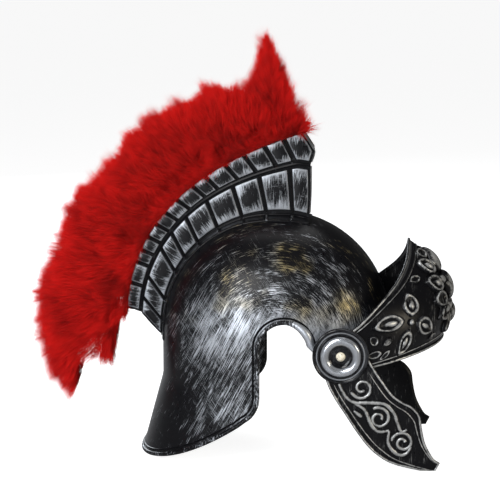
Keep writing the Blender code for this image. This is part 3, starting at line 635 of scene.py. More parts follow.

# Silver ribs under the lower dividers: a painted reflection of the box's plates in the glossy dome
front, rear = crest_limits(0.0)
aside = FLANGE_HALF_WIDTH - CREST_HALF_WIDTH
reflection_ribs = []
for _, side in SIDES:
    for divider in LOWER_DIVIDERS:
        share = (FLANGE_OVERRUN + (rear - front) * divider) / (rear - front + 2 * FLANGE_OVERRUN)
        reflection_ribs.append([
            flange_point(share, side * (CREST_HALF_WIDTH + aside * i / 6)) for i in range(7)
        ])
reflection_ribs = tubes("flange_reflection_ribs", reflection_ribs, FLANGE_REFLECTION_RIB_RADIUS, rim_finish, sides=8)
for made in (flange, reflection_ribs):
    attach(made, "helmet")

# Crest box: a curved black channel that stands on the flange. Two rows of raised plates line each
# side, their edges rubbed bright with silver and their middles left dark.
PLATE_RISE = 0.0013
PLATE_BULGE = 0.0005
DIVIDER_WIDTH = 0.0044
ROW_LINE_WIDTH = 0.0040
DIVIDER_BAR_RADIUS = 0.0015
ROW_LINE_SWELL = 1.3
LOWER_ROW_FOOT = 0.05
PLATE_GRID = 8
END_PLATE_MARGIN = 0.0030
END_PLATES = ((0.05, 0.58), (0.66, 0.78), (0.82, 0.98))
PLATE_BEVEL = 0.0006
PLATE_STROKE_WIDTH = 0.0006
PLATES_TOP = 0.99
PLATE_RUB = (0.10, 0.02)
LINE_STAND = 0.0002
CREST_MIDDLE = 130.0
CREST_MIDDLE_RADIUS = 0.15

bm = sheet_of(72, 10, lambda u, v: crest_point(v, u, -CREST_HALF_WIDTH), Vector((0, -1, 0)))
wall = bmesh.ops.extrude_face_region(bm, geom=bm.faces[:])["geom"]
bmesh.ops.translate(bm, vec=(0.0, 2 * CREST_HALF_WIDTH, 0.0),
                    verts=[made for made in wall if isinstance(made, bmesh.types.BMVert)])
bmesh.ops.recalc_face_normals(bm, faces=bm.faces)
crest_body = new_object("crest_body", bm, black_finish, crease=30.0)

plate_finish, shader, place = new_finish("plate_finish")
u, v, _ = parts_of(add_node("UVMap", place, uv_map="plate")[0])
x, y, z = parts_of(place)
to_side, to_end = u.math("MINIMUM", 1.0 - u), v.math("MINIMUM", 1.0 - v)
ragged = (noise_of(place, 260.0, 3.0) - 0.5) * 0.14
side_rub, end_rub = (ramp_between(inset + ragged, *PLATE_RUB) for inset in (to_side, to_end))
from_centre, round_centre = round_from(x, z, DOME_X, SKIRT_HEIGHT, CREST_MIDDLE_RADIUS)
round_centre += y
coverage = noise_of(place, 42.0, 1.0) * 0.36 + 0.15
coverage += ramp_between(to_end, 0.55, -0.05) * 0.27 + ramp_between(to_side, 0.20, 0.0) * 0.08
radial = use_group(strokes_group, Along=from_centre, Across=round_centre, Depth=y,
                   Length=0.012, Width=PLATE_STROKE_WIDTH, Coverage=coverage)[0]
level = use_group(strokes_group, Along=round_centre, Across=from_centre, Depth=y,
                  Length=0.007, Width=PLATE_STROKE_WIDTH, Coverage=coverage - 0.08)[0]
rubbed = (side_rub * 0.28).math("MAXIMUM", end_rub * 0.45)
brushed = (radial * 0.56).math("MAXIMUM", level * 0.4)
lay_silver(shader, place, rubbed.math("MAXIMUM", brushed), bump=0.2)


def add_plate(bm, place_of, inwards):
    """Adds a raised plate with rounded edges, with a layout from 0 to 1."""
    layout = bm.loops.layers.uv.get("plate") or bm.loops.layers.uv.new("plate")
    grid = bmesh.ops.create_grid(bm, x_segments=PLATE_GRID, y_segments=PLATE_GRID, size=1.0)
    grid = grid["verts"]
    faces = list({face for vert in grid for face in vert.link_faces})
    for vert in grid:
        u, v = (vert.co.x + 1.0) / 2.0, (vert.co.y + 1.0) / 2.0
        for loop in vert.link_loops:
            loop[layout].uv = (u, v)
        vert.co = place_of(u, v)
    rim = [edge for edge in {e for face in faces for e in face.edges} if edge.is_boundary]
    skirt = bmesh.ops.extrude_edge_only(bm, edges=rim)["geom"]
    bmesh.ops.translate(bm, vec=inwards * 2 * PLATE_RISE,
                        verts=[made for made in skirt if isinstance(made, bmesh.types.BMVert)])
    bmesh.ops.bevel(bm, geom=rim, offset=PLATE_BEVEL, segments=3, profile=0.5, affect="EDGES",
                    material=-1)


def bulge(u, v):
    """How far a plate's middle swells out."""
    return PLATE_BULGE * (1.0 - (2 * u - 1) ** 2) * (1.0 - (2 * v - 1) ** 2)


def plate_row(bm, dividers, low, high, side):
    """Adds one row of raised plates to a side of the crest box."""
    ends = (0.0, *dividers, 1.0)
    front, rear = crest_limits((low + high) / 2)
    middle_height = (low + high) / 2 * crest_height(CREST_MIDDLE)
    middle_radius = surface_radius(CREST_MIDDLE, 0.0) + middle_height
    half_gap = DIVIDER_WIDTH / 2 / (middle_radius * math.radians(rear - front))
    for start, end in zip(ends, ends[1:]):
        def on_side(u, v):
            along = start + half_gap + (end - start - 2 * half_gap) * u
            foot, head = crest_point(low, along, 0.0), crest_point(high, along, 0.0)
            nose = crest_point(low + (high - low) * v, along, 0.0)
            place = foot.lerp(head, v).lerp(nose, (1.0 - u) ** 2 if start == 0.0 else 0.0)
            return Vector((place.x, side * (CREST_HALF_WIDTH + PLATE_RISE + bulge(u, v)), place.z))

        add_plate(bm, on_side, Vector((0.0, -side, 0.0)))


def end_plate(bm, along, low, high):
    """Adds a raised plate to the front or the rear end of the crest box."""
    foot, head = crest_point(low, along, 0.0), crest_point(high, along, 0.0)
    outwards = (head - foot).normalized().cross(Vector((0.0, 1.0 if along else -1.0, 0.0)))

    def on_end(u, v):
        place = foot.lerp(head, v) + outwards * (PLATE_RISE + bulge(u, v))
        return place + Vector((0.0, (CREST_HALF_WIDTH - END_PLATE_MARGIN) * (2 * u - 1), 0.0))

    add_plate(bm, on_end, -outwards)


half_line = ROW_LINE_WIDTH / 2 / CREST_REAR_HEIGHT
bm = bmesh.new()
for _, side in SIDES:
    plate_row(bm, UPPER_DIVIDERS, ROW_SPLIT + half_line, PLATES_TOP, side)
    plate_row(bm, LOWER_DIVIDERS, LOWER_ROW_FOOT, ROW_SPLIT - half_line, side)
for along in (0.0, 1.0):
    for low, high in END_PLATES:
        end_plate(bm, along, low, high)
bmesh.ops.remove_doubles(bm, verts=bm.verts, dist=1e-6)
bmesh.ops.holes_fill(bm, edges=[edge for edge in bm.edges if edge.is_boundary], sides=0)
bmesh.ops.recalc_face_normals(bm, faces=bm.faces)
plates = new_object("crest_plates", bm, plate_finish, crease=50.0)

bars, swell = [], []
for _, side in SIDES:
    wall_y = side * CREST_HALF_WIDTH
    for dividers, low, high in (
        (UPPER_DIVIDERS, ROW_SPLIT, PLATES_TOP), (LOWER_DIVIDERS, 0.02, ROW_SPLIT)
    ):
        for divider in dividers:
            foot, head = crest_point(low, divider, wall_y), crest_point(high, divider, wall_y)
            bars.append([foot.lerp(head, i / 6) for i in range(7)])
            swell.append([1.0] * 7)
    for height in (ROW_SPLIT, 0.0):
        bars.append([crest_point(height, i / 72, wall_y + side * LINE_STAND) for i in range(73)])
        swell.append([ROW_LINE_SWELL] * 73)
bars = tubes("crest_dividers", bars, DIVIDER_BAR_RADIUS, black_finish, sides=8, swell=swell)
for made in (crest_body, plates, bars):
    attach(made, "helmet")
    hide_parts("crest_box")

# Plume: loose down on a quill, dyed red, set into the crest box as one long crest with an upright
# tuft in front and a tail behind. The barbs lie outwards from the box and gather into small points.
PLUME_SHRINK = 0.013
DOWN_SHRINK = 0.0165
BARB_LENGTH = 0.020
BARB_WIDTH = 0.00026
BARBS_PER_PIECE = 36000
BARB_PIECES = 6
FRINGE_SHARE = 0.12
CLUMPS = 3600
CLUMP_PULL = 0.42
SWIRL_SIZE = 0.013
LENGTH_PATCH_SIZE = 0.012
SHADE_PATCH_SIZE = 0.022
BARB_SHARES = np.array((0.0, 0.35, 0.7, 1.0))
TUFT_Z = 0.333
# Red of the painted shade in the folds of the down
FOLD_SHADE_RED = (0.19, 0.001, 0.002, 1.0)
ROOT_REDS = (0.33, 0.001, 0.002, 1.0), (0.44, 0.003, 0.003, 1.0)
TIP_REDS = (0.76, 0.006, 0.006, 1.0), (0.92, 0.020, 0.014, 1.0)
DOWN_SHADE = (0.60, 0.5, 1.0, 1.0)
DOWN_VOXEL = 0.004

source = bmesh.new()
source.from_mesh(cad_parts["plume"].data)
bmesh.ops.remove_doubles(source, verts=source.verts, dist=1e-5)
loose = [
    vert for vert in source.verts
    if math.hypot(vert.co.x - DOME_X, vert.co.z - SKIRT_HEIGHT) > 0.6 * DOME_HALF_LENGTH
]
for _ in range(2):
    bmesh.ops.smooth_vert(source, verts=loose, factor=0.5,
                          use_axis_x=True, use_axis_y=True, use_axis_z=True)
SWELL_FROM = 0.17
SWELL_WITHIN = 0.04
PLUME_SWELLS = (
    # place in the side view and reach in degrees, how far outwards in metres
    (151.0, 13.0, 0.0060),
    (119.0, 7.0, 0.0035),
    (106.0, 3.5, 0.0045),
    (97.5, 2.2, -0.0110),
    (83.0, 6.0, -0.0080),
)
for vert in loose:
    fore, above = vert.co.x - DOME_X, vert.co.z - SKIRT_HEIGHT
    angle = math.degrees(math.atan2(above, fore))
    outer = max(0.0, min(1.0, (math.hypot(fore, above) - SWELL_FROM) / SWELL_WITHIN))
    push = outer * sum(
        rise * math.exp(-(((angle - middle) / reach) ** 2)) for middle, reach, rise in PLUME_SWELLS
    )
    vert.co.x += push * math.cos(math.radians(angle))
    vert.co.z += push * math.sin(math.radians(angle))
source.normal_update()

feather_finish, shader, place = new_finish("feather_finish", roughness=0.8, coat=0.0, gloss=0.15)
plug(0.12, shader.inputs["Sheen Weight"])
plug(0.5, shader.inputs["Sheen Roughness"])
plug((1.0, 0.25, 0.2, 1.0), shader.inputs["Sheen Tint"])
strand = add_node("Attribute", place, attribute_name="barb")[0]
tip, chance, fold_shade = add_node("SeparateColor", place, (strand,))
dyed = blend_of(tip, blend_of(chance, *ROOT_REDS), blend_of(chance, *TIP_REDS))
# Third channel: painted shade of folds in the down, darker in slow patches and towards the roots,
# with a little random tone per clump
plug(blend_of(fold_shade, FOLD_SHADE_RED, dyed), shader.inputs["Base Color"])

# The tail parts in two: a long rear point, and a shorter one in front of it
TAIL_FORK_Z = 0.094
TAIL_REAR_EDGE_X = -0.165
TAIL_REAR_EDGE_LEAN = 0.16
TAIL_POINT_REAR_X = -0.152
TAIL_POINT_REAR_LEAN = 1.0
TAIL_POINT_FRONT_X = -0.124
TAIL_POINT_FRONT_LEAN = 0.5
TAIL_WALL_DEPTH = 0.020
FORK_SHARE = 0.15
STRAY_ASIDE = 0.007
STRAY_DOWN = 0.012


def in_fork(x, z):
    """Whether places of the side view lie in the open gap of the tail."""
    drop = TAIL_FORK_Z - z
    behind = x < TAIL_REAR_EDGE_X - TAIL_REAR_EDGE_LEAN * drop
    in_point = (x > TAIL_POINT_REAR_X + TAIL_POINT_REAR_LEAN * drop) & (
        x < TAIL_POINT_FRONT_X - TAIL_POINT_FRONT_LEAN * drop)
    return (drop > 0.0) & ~(np.asarray(behind) | np.asarray(in_point))


body = source.copy()
body.verts.ensure_lookup_table()
for vert in loose:
    twin = vert.co - vert.normal * DOWN_SHRINK
    if twin.z < TAIL_FORK_Z + TAIL_WALL_DEPTH and twin.x > TAIL_REAR_EDGE_X - TAIL_WALL_DEPTH:
        if twin.x < TAIL_REAR_EDGE_X + 0.010 and twin.z < TAIL_FORK_Z - 0.006:
            edge_x = TAIL_REAR_EDGE_X - TAIL_REAR_EDGE_LEAN * (TAIL_FORK_Z - twin.z)
            twin.x = edge_x - TAIL_WALL_DEPTH
        else:
            twin.z = TAIL_FORK_Z + TAIL_WALL_DEPTH + 0.15 * (twin.z - TAIL_FORK_Z)
    body.verts[vert.index].co = twin
down = new_object("plume_down", body, feather_finish, crease=180.0)
rounder = down.modifiers.new("round", "REMESH")
rounder.mode = "VOXEL"
rounder.voxel_size = DOWN_VOXEL
apply_modifiers(down)
shade = down.data.color_attributes.new("barb", "FLOAT_COLOR", "POINT")
shade.data.foreach_set("color", np.tile(DOWN_SHADE, len(down.data.vertices)))
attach(down, "helmet")
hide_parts("plume")

bmesh.ops.triangulate(source, faces=source.faces)
corners = np.array([[vert.co for vert in face.verts] for face in source.faces])
turned_out = np.array([[vert.normal for vert in face.verts] for face in source.faces])
source.free()
sides = corners[:, 1] - corners[:, 0], corners[:, 2] - corners[:, 0]
areas = np.linalg.norm(np.cross(*sides), axis=1)
middles = corners.mean(axis=1)
fore, above = middles[:, 0] - DOME_X, middles[:, 2] - SKIRT_HEIGHT
crest_top = np.array([
    surface_radius(min(angle, 180.0), 0.0) + crest_height(angle)
    for angle in np.degrees(np.arctan2(above, fore)) % 360.0
])
from_dome = np.hypot(fore, above)
areas[(from_dome < crest_top - 0.001) & (np.abs(middles[:, 1]) < CREST_HALF_WIDTH)] = 0.0
areas[in_fork(middles[:, 0], middles[:, 2])] *= FORK_SHARE
shares = areas / areas.sum()


def unit(rows):
    """Rows of vectors at length one."""
    return rows / np.maximum(np.linalg.norm(rows, axis=1, keepdims=True), 1e-9)


def waves(places, size):
    """A smooth value from 0 to 1 that changes over the given size."""
    turns = places / size
    return 0.5 + (
        np.sin(turns[:, 0] * 2.1 + turns[:, 2] * 1.3 + 0.7)
        + np.sin(turns[:, 1] * 2.7 - turns[:, 2] * 1.9 + 2.1)
        + np.sin(turns[:, 0] * 1.1 - turns[:, 1] * 1.7 + turns[:, 2] * 2.3 + 4.0)
    ) / 6.0


def flow(places, out):
    """The way the down lies at places on the plume, from where it faces out."""
    away = places - np.array((DOME_X, 0.0, SKIRT_HEIGHT))
    away[:, 1] = 0.0
    away = unit(away)
    tail = np.clip((0.15 - places[:, 2]) / 0.10, 0.0, 1.0)[:, None] * np.array((0.15, 0.0, -0.9))
    in_tuft = np.clip((places[:, 2] - TUFT_Z) / 0.03, 0.0, 1.0)
    in_tuft = in_tuft * np.clip((places[:, 0] + 0.03) / 0.02, 0.0, 1.0)
    lift = in_tuft[:, None] * np.array((-0.15, 0.0, 0.9))
    swirl = 0.15 + 1.5 * (waves(places, SWIRL_SIZE) - 0.5)
    aside = np.stack((-away[:, 2], np.zeros(len(away)), away[:, 0]), axis=1) * swirl[:, None]
    return unit(0.62 * unit(away + tail + lift + aside) + 0.55 * out)


rng = np.random.RandomState(7)
fringe_line = np.array([crest_point(1.0, i / 400, 0.0) for i in range(401)])


def roots(count):
    """Random places on the plume and the box's top edges, how they face, how the down lies."""
    chosen = rng.choice(len(shares), count, p=shares)
    mix = rng.dirichlet((1.0, 1.0, 1.0), count)[:, :, None]
    places = (corners[chosen] * mix).sum(axis=1)
    out = unit((turned_out[chosen] * mix).sum(axis=1))
    way = flow(places, out)
    fringe = rng.uniform(size=count) < FRINGE_SHARE
    spot = np.minimum(rng.randint(0, 430, count), 400)[fringe]
    side = rng.choice((-1.0, 1.0), len(spot))
    places[fringe] = fringe_line[spot]
    places[fringe, 1] = side * (CREST_HALF_WIDTH + rng.uniform(-0.006, 0.001, len(spot)))
    away = unit(places[fringe] - np.array((DOME_X, 0.0, SKIRT_HEIGHT)))
    back = np.stack((-away[:, 2], np.zeros(len(spot)), away[:, 0]), axis=1)
    front = np.clip(1.0 - spot / 12.0, 0.0, 1.0)[:, None]
    aside = np.zeros_like(away)
    aside[:, 1] = side
    way[fringe] = unit(0.30 * away + 0.75 * aside + 0.35 * back * (1.0 - 3.0 * front)
                       + rng.normal(0.0, 0.22, away.shape))
    out[fringe] = way[fringe]
    places[fringe] += out[fringe] * PLUME_SHRINK
    return places, out, way


clump_places, clump_out, clump_way = roots(CLUMPS)
clump_way = unit(clump_way + rng.normal(0.0, 0.20, clump_way.shape))
clump_length = BARB_LENGTH * rng.uniform(0.75, 1.25, CLUMPS)
clump_length = clump_length * (0.75 + 0.5 * waves(clump_places, LENGTH_PATCH_SIZE))
clump_tips = clump_places - clump_out * PLUME_SHRINK + clump_way * clump_length[:, None]
# Each clump's painted fold shade: dark where the slow patches are low, plus a little random tone
clump_shade = 0.30 + 0.85 * waves(clump_places, SHADE_PATCH_SIZE) + rng.normal(0.0, 0.10, CLUMPS)
clump_shade = np.clip(clump_shade, 0.0, 1.0)
outside = np.flatnonzero(~in_fork(clump_tips[:, 0], clump_tips[:, 2]))
finder = kdtree.KDTree(len(outside))
for index in outside:
    finder.insert(clump_places[index], int(index))
finder.balance()

for number in range(BARB_PIECES):
    places, out, way = roots(BARBS_PER_PIECE)
    nearest = np.array([finder.find(place)[1] for place in places])
    count = len(places)
    length = (clump_length[nearest] * rng.uniform(0.65, 1.1, count))[:, None]
    start = places - out * PLUME_SHRINK
    way = unit(way + rng.normal(0.0, 0.13, way.shape))
    own_tip = start + way * length
    pull = CLUMP_PULL * rng.uniform(0.6, 1.2, count)[:, None]
    gathered = clump_tips[nearest] + (places - clump_places[nearest]) * 0.35
    end = own_tip * (1.0 - pull) + gathered * pull
    stray = rng.uniform(0.0, 1.0, (2, count)) ** 1.5
    kept = ~(in_fork(end[:, 0] - STRAY_ASIDE * stray[0], end[:, 2] + STRAY_DOWN * stray[1])
             | in_fork(start[:, 0], start[:, 2]))
    start, end, out, way, length, nearest = (
        row[kept] for row in (start, end, out, way, length, nearest)
    )
    count = len(start)
    bend = start + (out * 0.45 + way * 0.55) * length * 0.5
    across = unit(np.cross(end - start, rng.normal(size=start.shape)))
    width = BARB_WIDTH * rng.uniform(0.7, 1.3, count)[:, None]
    rows = []
    for share in BARB_SHARES:
        centre = start * (1 - share) ** 2 + bend * 2 * share * (1 - share) + end * share**2
        half = across * width / 2 * (1.0 - 0.75 * share)
        rows += [centre - half, centre + half] if share < 1.0 else [centre]
    points = np.stack(rows, axis=1)
    per = points.shape[1]
    pattern = np.array((0, 1, 3, 0, 3, 2, 2, 3, 5, 2, 5, 4, 4, 5, 6))
    loops = (np.arange(count)[:, None] * per + pattern).ravel()
    mesh = bpy.data.meshes.new(f"plume_barbs_{number + 1}")
    mesh.vertices.add(count * per)
    mesh.vertices.foreach_set("co", points.ravel())
    mesh.loops.add(len(loops))
    mesh.loops.foreach_set("vertex_index", loops)
    mesh.polygons.add(len(loops) // 3)
    mesh.polygons.foreach_set("loop_start", np.arange(0, len(loops), 3))
    mesh.update(calc_edges=True)
    tips = np.repeat(BARB_SHARES, (2, 2, 2, 1))
    colours = np.ones((count, per, 4))
    colours[:, :, 0] = tips[None, :]
    colours[:, :, 1] = rng.uniform(0.0, 1.0, count)[:, None]
    # Painted fold shade of the clump, lighter towards the tip
    colours[:, :, 2] = np.clip(clump_shade[nearest][:, None] + 0.35 * tips[None, :], 0.0, 1.0)
    shade = mesh.color_attributes.new("barb", "FLOAT_COLOR", "POINT")
    shade.data.foreach_set("color", colours.ravel())
    barbs = new_object(f"plume_barbs_{number + 1}", mesh, feather_finish, crease=180.0)
    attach(barbs, "helmet")
    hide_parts("plume")

# Brow visor: a peaked band of the same black plastic that tilts on the two pivots. Leaves, a flower
# on each side and a tall group in the middle are cast on it, with silver rubbed on what stands up.
VISOR_LUG_INNER_Y = POST_FACE_Y + PIVOT_GAP
VISOR_LUG_THICKNESS = 0.002
VISOR_LUG_RADIUS = 0.018
VISOR_WALL = 0.0017
VISOR_LOW_DEPTH = 0.102
VISOR_LOW_REAR_Z = -0.018
VISOR_LOW_FRONT_Z = 0.003
VISOR_PEAK_DEPTH = 0.067
VISOR_PEAK_Z = 0.0985
VISOR_SHOULDER_DROP = 0.058
VISOR_END_DROP = 0.021
VISOR_SWEEP = 0.93
VISOR_BULGE = 0.019
VISOR_EDGE_RADIUS = 0.0014
VISOR_LINE_RADIUS = 0.0007
VISOR_EDGE_REACH = 0.985
VISOR_LINE_REACH = 0.95
VISOR_LINE_RISES = (0.07, 0.93)
VISOR_LEAVES = (
    # turn: share of a quarter turn from the front, rise: share of the height, length and width in
    # metres, lean: degrees from upright, how high it stands, how deep its middle is dished
    (0.00, 0.74, 0.030, 0.016, 0.0, 0.0064, 0.00),
    (0.00, 0.46, 0.031, 0.019, 0.0, 0.0084, 0.00),
    (0.00, 0.20, 0.023, 0.017, 0.0, 0.0082, 0.00),
    (0.055, 0.71, 0.024, 0.010, 30.0, 0.0058, 0.00),
    (0.060, 0.45, 0.025, 0.011, 30.0, 0.0072, 0.00),
    (0.060, 0.21, 0.020, 0.010, 40.0, 0.0070, 0.00),
    (0.07, 0.88, 0.018, 0.012, 40.0, 0.0040, 0.50),
    (0.15, 0.80, 0.027, 0.017, 26.0, 0.0052, 0.62),
    (0.22, 0.64, 0.028, 0.018, 46.0, 0.0058, 0.62),
    (0.25, 0.47, 0.026, 0.016, 74.0, 0.0058, 0.62),
    (0.23, 0.31, 0.027, 0.017, 100.0, 0.0056, 0.62),
    (0.16, 0.16, 0.024, 0.015, 132.0, 0.0050, 0.60),
    (0.14, 0.78, 0.015, 0.007, 26.0, 0.0052, 0.00),
    (0.20, 0.62, 0.015, 0.007, 46.0, 0.0058, 0.00),
    (0.21, 0.32, 0.015, 0.007, 100.0, 0.0056, 0.00),
    (0.12, 0.59, 0.019, 0.009, 60.0, 0.0062, 0.00),
    (0.12, 0.33, 0.019, 0.009, 110.0, 0.0060, 0.00),
    (0.33, 0.86, 0.016, 0.009, 66.0, 0.0024, 0.60),
    (0.52, 0.70, 0.026, 0.019, -37.0, 0.0030, 0.75),
    (0.52, 0.69, 0.013, 0.007, -37.0, 0.0026, 0.00),
    (0.48, 0.32, 0.027, 0.018, -130.0, 0.0030, 0.75),
    (0.48, 0.32, 0.015, 0.006, -130.0, 0.0024, 0.00),
    (0.59, 0.49, 0.007, 0.007, 0.0, 0.0042, 0.00),
    (0.66, 0.24, 0.026, 0.016, 146.0, 0.0030, 0.75),
    (0.66, 0.24, 0.013, 0.006, 146.0, 0.0026, 0.00),
    (0.73, 0.68, 0.036, 0.017, 70.0, 0.0032, 0.75),
    (0.72, 0.66, 0.018, 0.007, 70.0, 0.0027, 0.00),
    (0.78, 0.40, 0.012, 0.007, 100.0, 0.0034, 0.20),
    (0.86, 0.56, 0.012, 0.009, 30.0, 0.0028, 0.55),
    (0.87, 0.26, 0.018, 0.008, 80.0, 0.0026, 0.50),
    (0.80, 0.17, 0.014, 0.006, 120.0, 0.0024, 0.40),
    (0.40, 0.13, 0.014, 0.006, 96.0, 0.0022, 0.30),
)


def visor_place(turn, rise):
    """The visor's outer surface: turn from -1 to 1 across, rise from 0 to 1 up."""
    angle = turn * VISOR_SWEEP * math.pi / 2
    across, forward = math.sin(angle), math.cos(angle)
    half_width = VISOR_LUG_INNER_Y + (VISOR_LUG_THICKNESS + VISOR_WALL) / 2
    low = Vector((VISOR_LOW_DEPTH * forward,
                  VISOR_LOW_REAR_Z + (VISOR_LOW_FRONT_Z - VISOR_LOW_REAR_Z) * forward))
    peak = VISOR_PEAK_Z - VISOR_SHOULDER_DROP * abs(across) - VISOR_END_DROP * abs(across)**10
    chord = Vector((VISOR_PEAK_DEPTH * forward, peak)) - low
    outward = Vector((chord.y, -chord.x)).normalized()
    flat = low + chord * rise + outward * VISOR_BULGE * forward * 4 * rise * (1 - rise)
    return Vector((PIVOT_X + flat.x, half_width * across, PIVOT_Z + flat.y))


def visor_frame(turn, rise):
    """How the surface runs across and up at a place, and the way straight out of it."""
    sideways = (visor_place(turn + 0.005, rise) - visor_place(turn - 0.005, rise)) / 0.01
    upright = (visor_place(turn, rise + 0.005) - visor_place(turn, rise - 0.005)) / 0.01
    out = sideways.cross(upright).normalized()
    return sideways, upright, out


def dished(rho, dish):
    """Height of a cast leaf across its half-width: a rounded swell, or a rim round a hollow."""
    rim = math.exp(-(((rho - 0.74) / 0.20) ** 2))
    return (1.0 - dish) * math.sqrt(max(0.0, 1.0 - rho * rho)) + dish * rim


def add_leaf(bm, raised, to_surface, length, width, height, dish):
    """A cast leaf: a flattened ball with a pointed outline, laid on a surface."""
    made = bmesh.ops.create_uvsphere(bm, u_segments=28, v_segments=24, radius=1.0)["verts"]
    for vert in made:
        x, y, z = vert.co
        rho = min(1.0, math.hypot(x, y))
        narrow = 1.0
        if length > 1.25 * width:
            narrow = (1.0 - min(1.0, abs(x)) ** 2.2) ** 0.35 * (1.0 - 0.18 * x)
        stand = dished(rho, dish) if z >= 0.0 else -0.25 * math.sqrt(max(0.0, 1.0 - rho * rho))
        vert[raised] = max(0.0, stand) if rho < 0.97 else 0.0
        vert.co = to_surface(x * length / 2, y * width / 2 * narrow, stand * height)


def mark_raised(piece, out_of):
    """Marks how far each point of a rod looks away from the surface it lies on."""
    marks = piece.data.attributes.new("raised", "FLOAT", "POINT")
    for vert, mark in zip(piece.data.vertices, marks.data):
        mark.value = max(0.0, vert.normal.dot(out_of(vert.co)))


relief_finish, shader, place = new_finish("relief_finish")
x, y, z = parts_of(place)
raised = add_node("Attribute", place, attribute_name="raised")[2]
mottled = (noise_of(place, 200.0, 3.0) - 0.5) * 1.1
high = ramp_between(raised + mottled, 0.58, 1.05)
film = use_group(strokes_group, Along=z, Across=x, Depth=y, Length=0.010, Width=0.0009,
                 Coverage=0.37)[0]
lay_silver(shader, place, (high * 0.80).math("MAXIMUM", film * 0.28), warmth=0.2)

bm = sheet_of(120, 24, lambda u, v: visor_place(2 * u - 1, v), Vector((1, 0, 0)))
sheet = new_object("visor_band", bm, relief_finish)
give_wall(sheet, VISOR_WALL, even=True)
apply_modifiers(sheet)

turns = [VISOR_EDGE_REACH * (i / 60 - 1) for i in range(121)]
edges = [[visor_place(turn, rise) for turn in turns] for rise in (0.0, 1.0)]
edges = tubes("visor_edges", edges, VISOR_EDGE_RADIUS, relief_finish)
lines = [
    [visor_place(turn * VISOR_LINE_REACH, rise) for turn in turns] for rise in VISOR_LINE_RISES
]
lines = tubes("visor_lines", lines, VISOR_LINE_RADIUS, relief_finish, sides=8)
for rods in (edges, lines):
    mark_raised(rods, lambda place: Vector((place.x - PIVOT_X, place.y, 0.0)).normalized())

bm = bmesh.new()
raised_layer = bm.verts.layers.float.new("raised")
for turn, rise, length, width, lean, height, dish in VISOR_LEAVES:
    for side in (-1.0, 1.0) if turn else (1.0,):
        sideways, upright, _ = visor_frame(side * turn, rise)
        angle = math.radians(lean)
        along = (side * math.sin(angle), math.cos(angle))
        over = (side * math.cos(angle), -math.sin(angle))

        def on_visor(a, b, stand):
            at_turn = side * turn + (along[0] * a + over[0] * b) / sideways.length
            at_rise = min(0.995, max(0.005, rise + (along[1] * a + over[1] * b) / upright.length))
            return visor_place(at_turn, at_rise) + visor_frame(at_turn, at_rise)[2] * stand

        add_leaf(bm, raised_layer, on_visor, length, width, height, dish)
bmesh.ops.recalc_face_normals(bm, faces=bm.faces)
leaves = new_object("visor_leaves", bm, relief_finish, crease=80.0)

def washer(radius, thickness):
    """Profile of a flat ring round a rivet."""
    return [(RIVET_HOLE_RADIUS, 0.0), (radius, 0.0), (radius, thickness),
            (RIVET_HOLE_RADIUS, thickness), (RIVET_HOLE_RADIUS, 0.0)]


lugs = [
    turned(f"visor_lug_{side_name}", washer(VISOR_LUG_RADIUS, VISOR_LUG_THICKNESS), side,
           VISOR_LUG_INNER_Y, relief_finish)
    for side_name, side in SIDES
]
for made in (sheet, edges, lines, leaves, *lugs):
    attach(made, "visor")
    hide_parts("brow_visor")

# Cheek guards: a pointed plate hangs from each pivot and bends in towards the jaw. A rolled border
# and a running vine are cast on it, in silver over a blackened ground.
CHEEK_INNER_Y = VISOR_LUG_INNER_Y + VISOR_LUG_THICKNESS + PIVOT_GAP
CHEEK_DISC_THICKNESS = 0.0024
CHEEK_DISC_RADIUS = 0.023
CHEEK_WALL = 0.0021
CHEEK_LENGTH = 0.148
CHEEK_FLAT_RADIUS = 0.035
CHEEK_BEND = 0.009
CHEEK_EDGE_RADIUS = 0.0013
CHEEK_LINE_RADIUS = 0.0007
VINE_RADIUS = 0.0020
CHEEK_STATIONS = (
    # rear x, rear z, front x, front z, as shares of the guard's length
    (-0.110, -0.020, 0.150, 0.030),
    (-0.085, -0.160, 0.196, -0.061),
    (-0.030, -0.277, 0.260, -0.160),
    (0.040, -0.385, 0.331, -0.257),
    (0.110, -0.495, 0.395, -0.305),
    (0.189, -0.601, 0.460, -0.340),
    (0.264, -0.669, 0.507, -0.400),
    (0.338, -0.712, 0.520, -0.480),
    (0.450, -0.745, 0.545, -0.588),
    (0.570, -0.770, 0.600, -0.690),
    (0.620, -0.768, 0.644, -0.722),
)
VINE_VOLUTES = (
    # centre x and z and outer radius in metres from the pivot, start: degrees, turns
    (0.0205, -0.0308, 0.0108, 200.0, 1.35),
    (0.0370, -0.0606, 0.0112, 120.0, -1.40),
    (0.0600, -0.0850, 0.0110, 170.0, -1.40),
)
VINE_STEMS = (
    # (x, z) in metres from the pivot, down the guard
    ((-0.002, -0.024), (0.001, -0.032), (0.006, -0.040), (0.014, -0.045), (0.027, -0.045),
     (0.041, -0.046), (0.049, -0.052), (0.053, -0.060), (0.056, -0.069), (0.059, -0.074),
     (0.064, -0.072)),
    ((0.014, -0.046), (0.023, -0.052), (0.028, -0.063), (0.032, -0.070), (0.038, -0.074),
     (0.047, -0.073)),
    ((0.047, -0.073), (0.046, -0.083), (0.049, -0.091), (0.056, -0.097), (0.064, -0.096),
     (0.068, -0.089)),
    ((0.013, -0.053), (0.018, -0.057), (0.021, -0.059)),
)
CHEEK_ROW_STEPS = 6
BORDER_SPAN = (0.04, 0.995)
LINE_SPAN = (0.13, 0.95)
LINES_ACROSS = (0.10, 0.88)
VOLUTE_CLOSING = 0.78


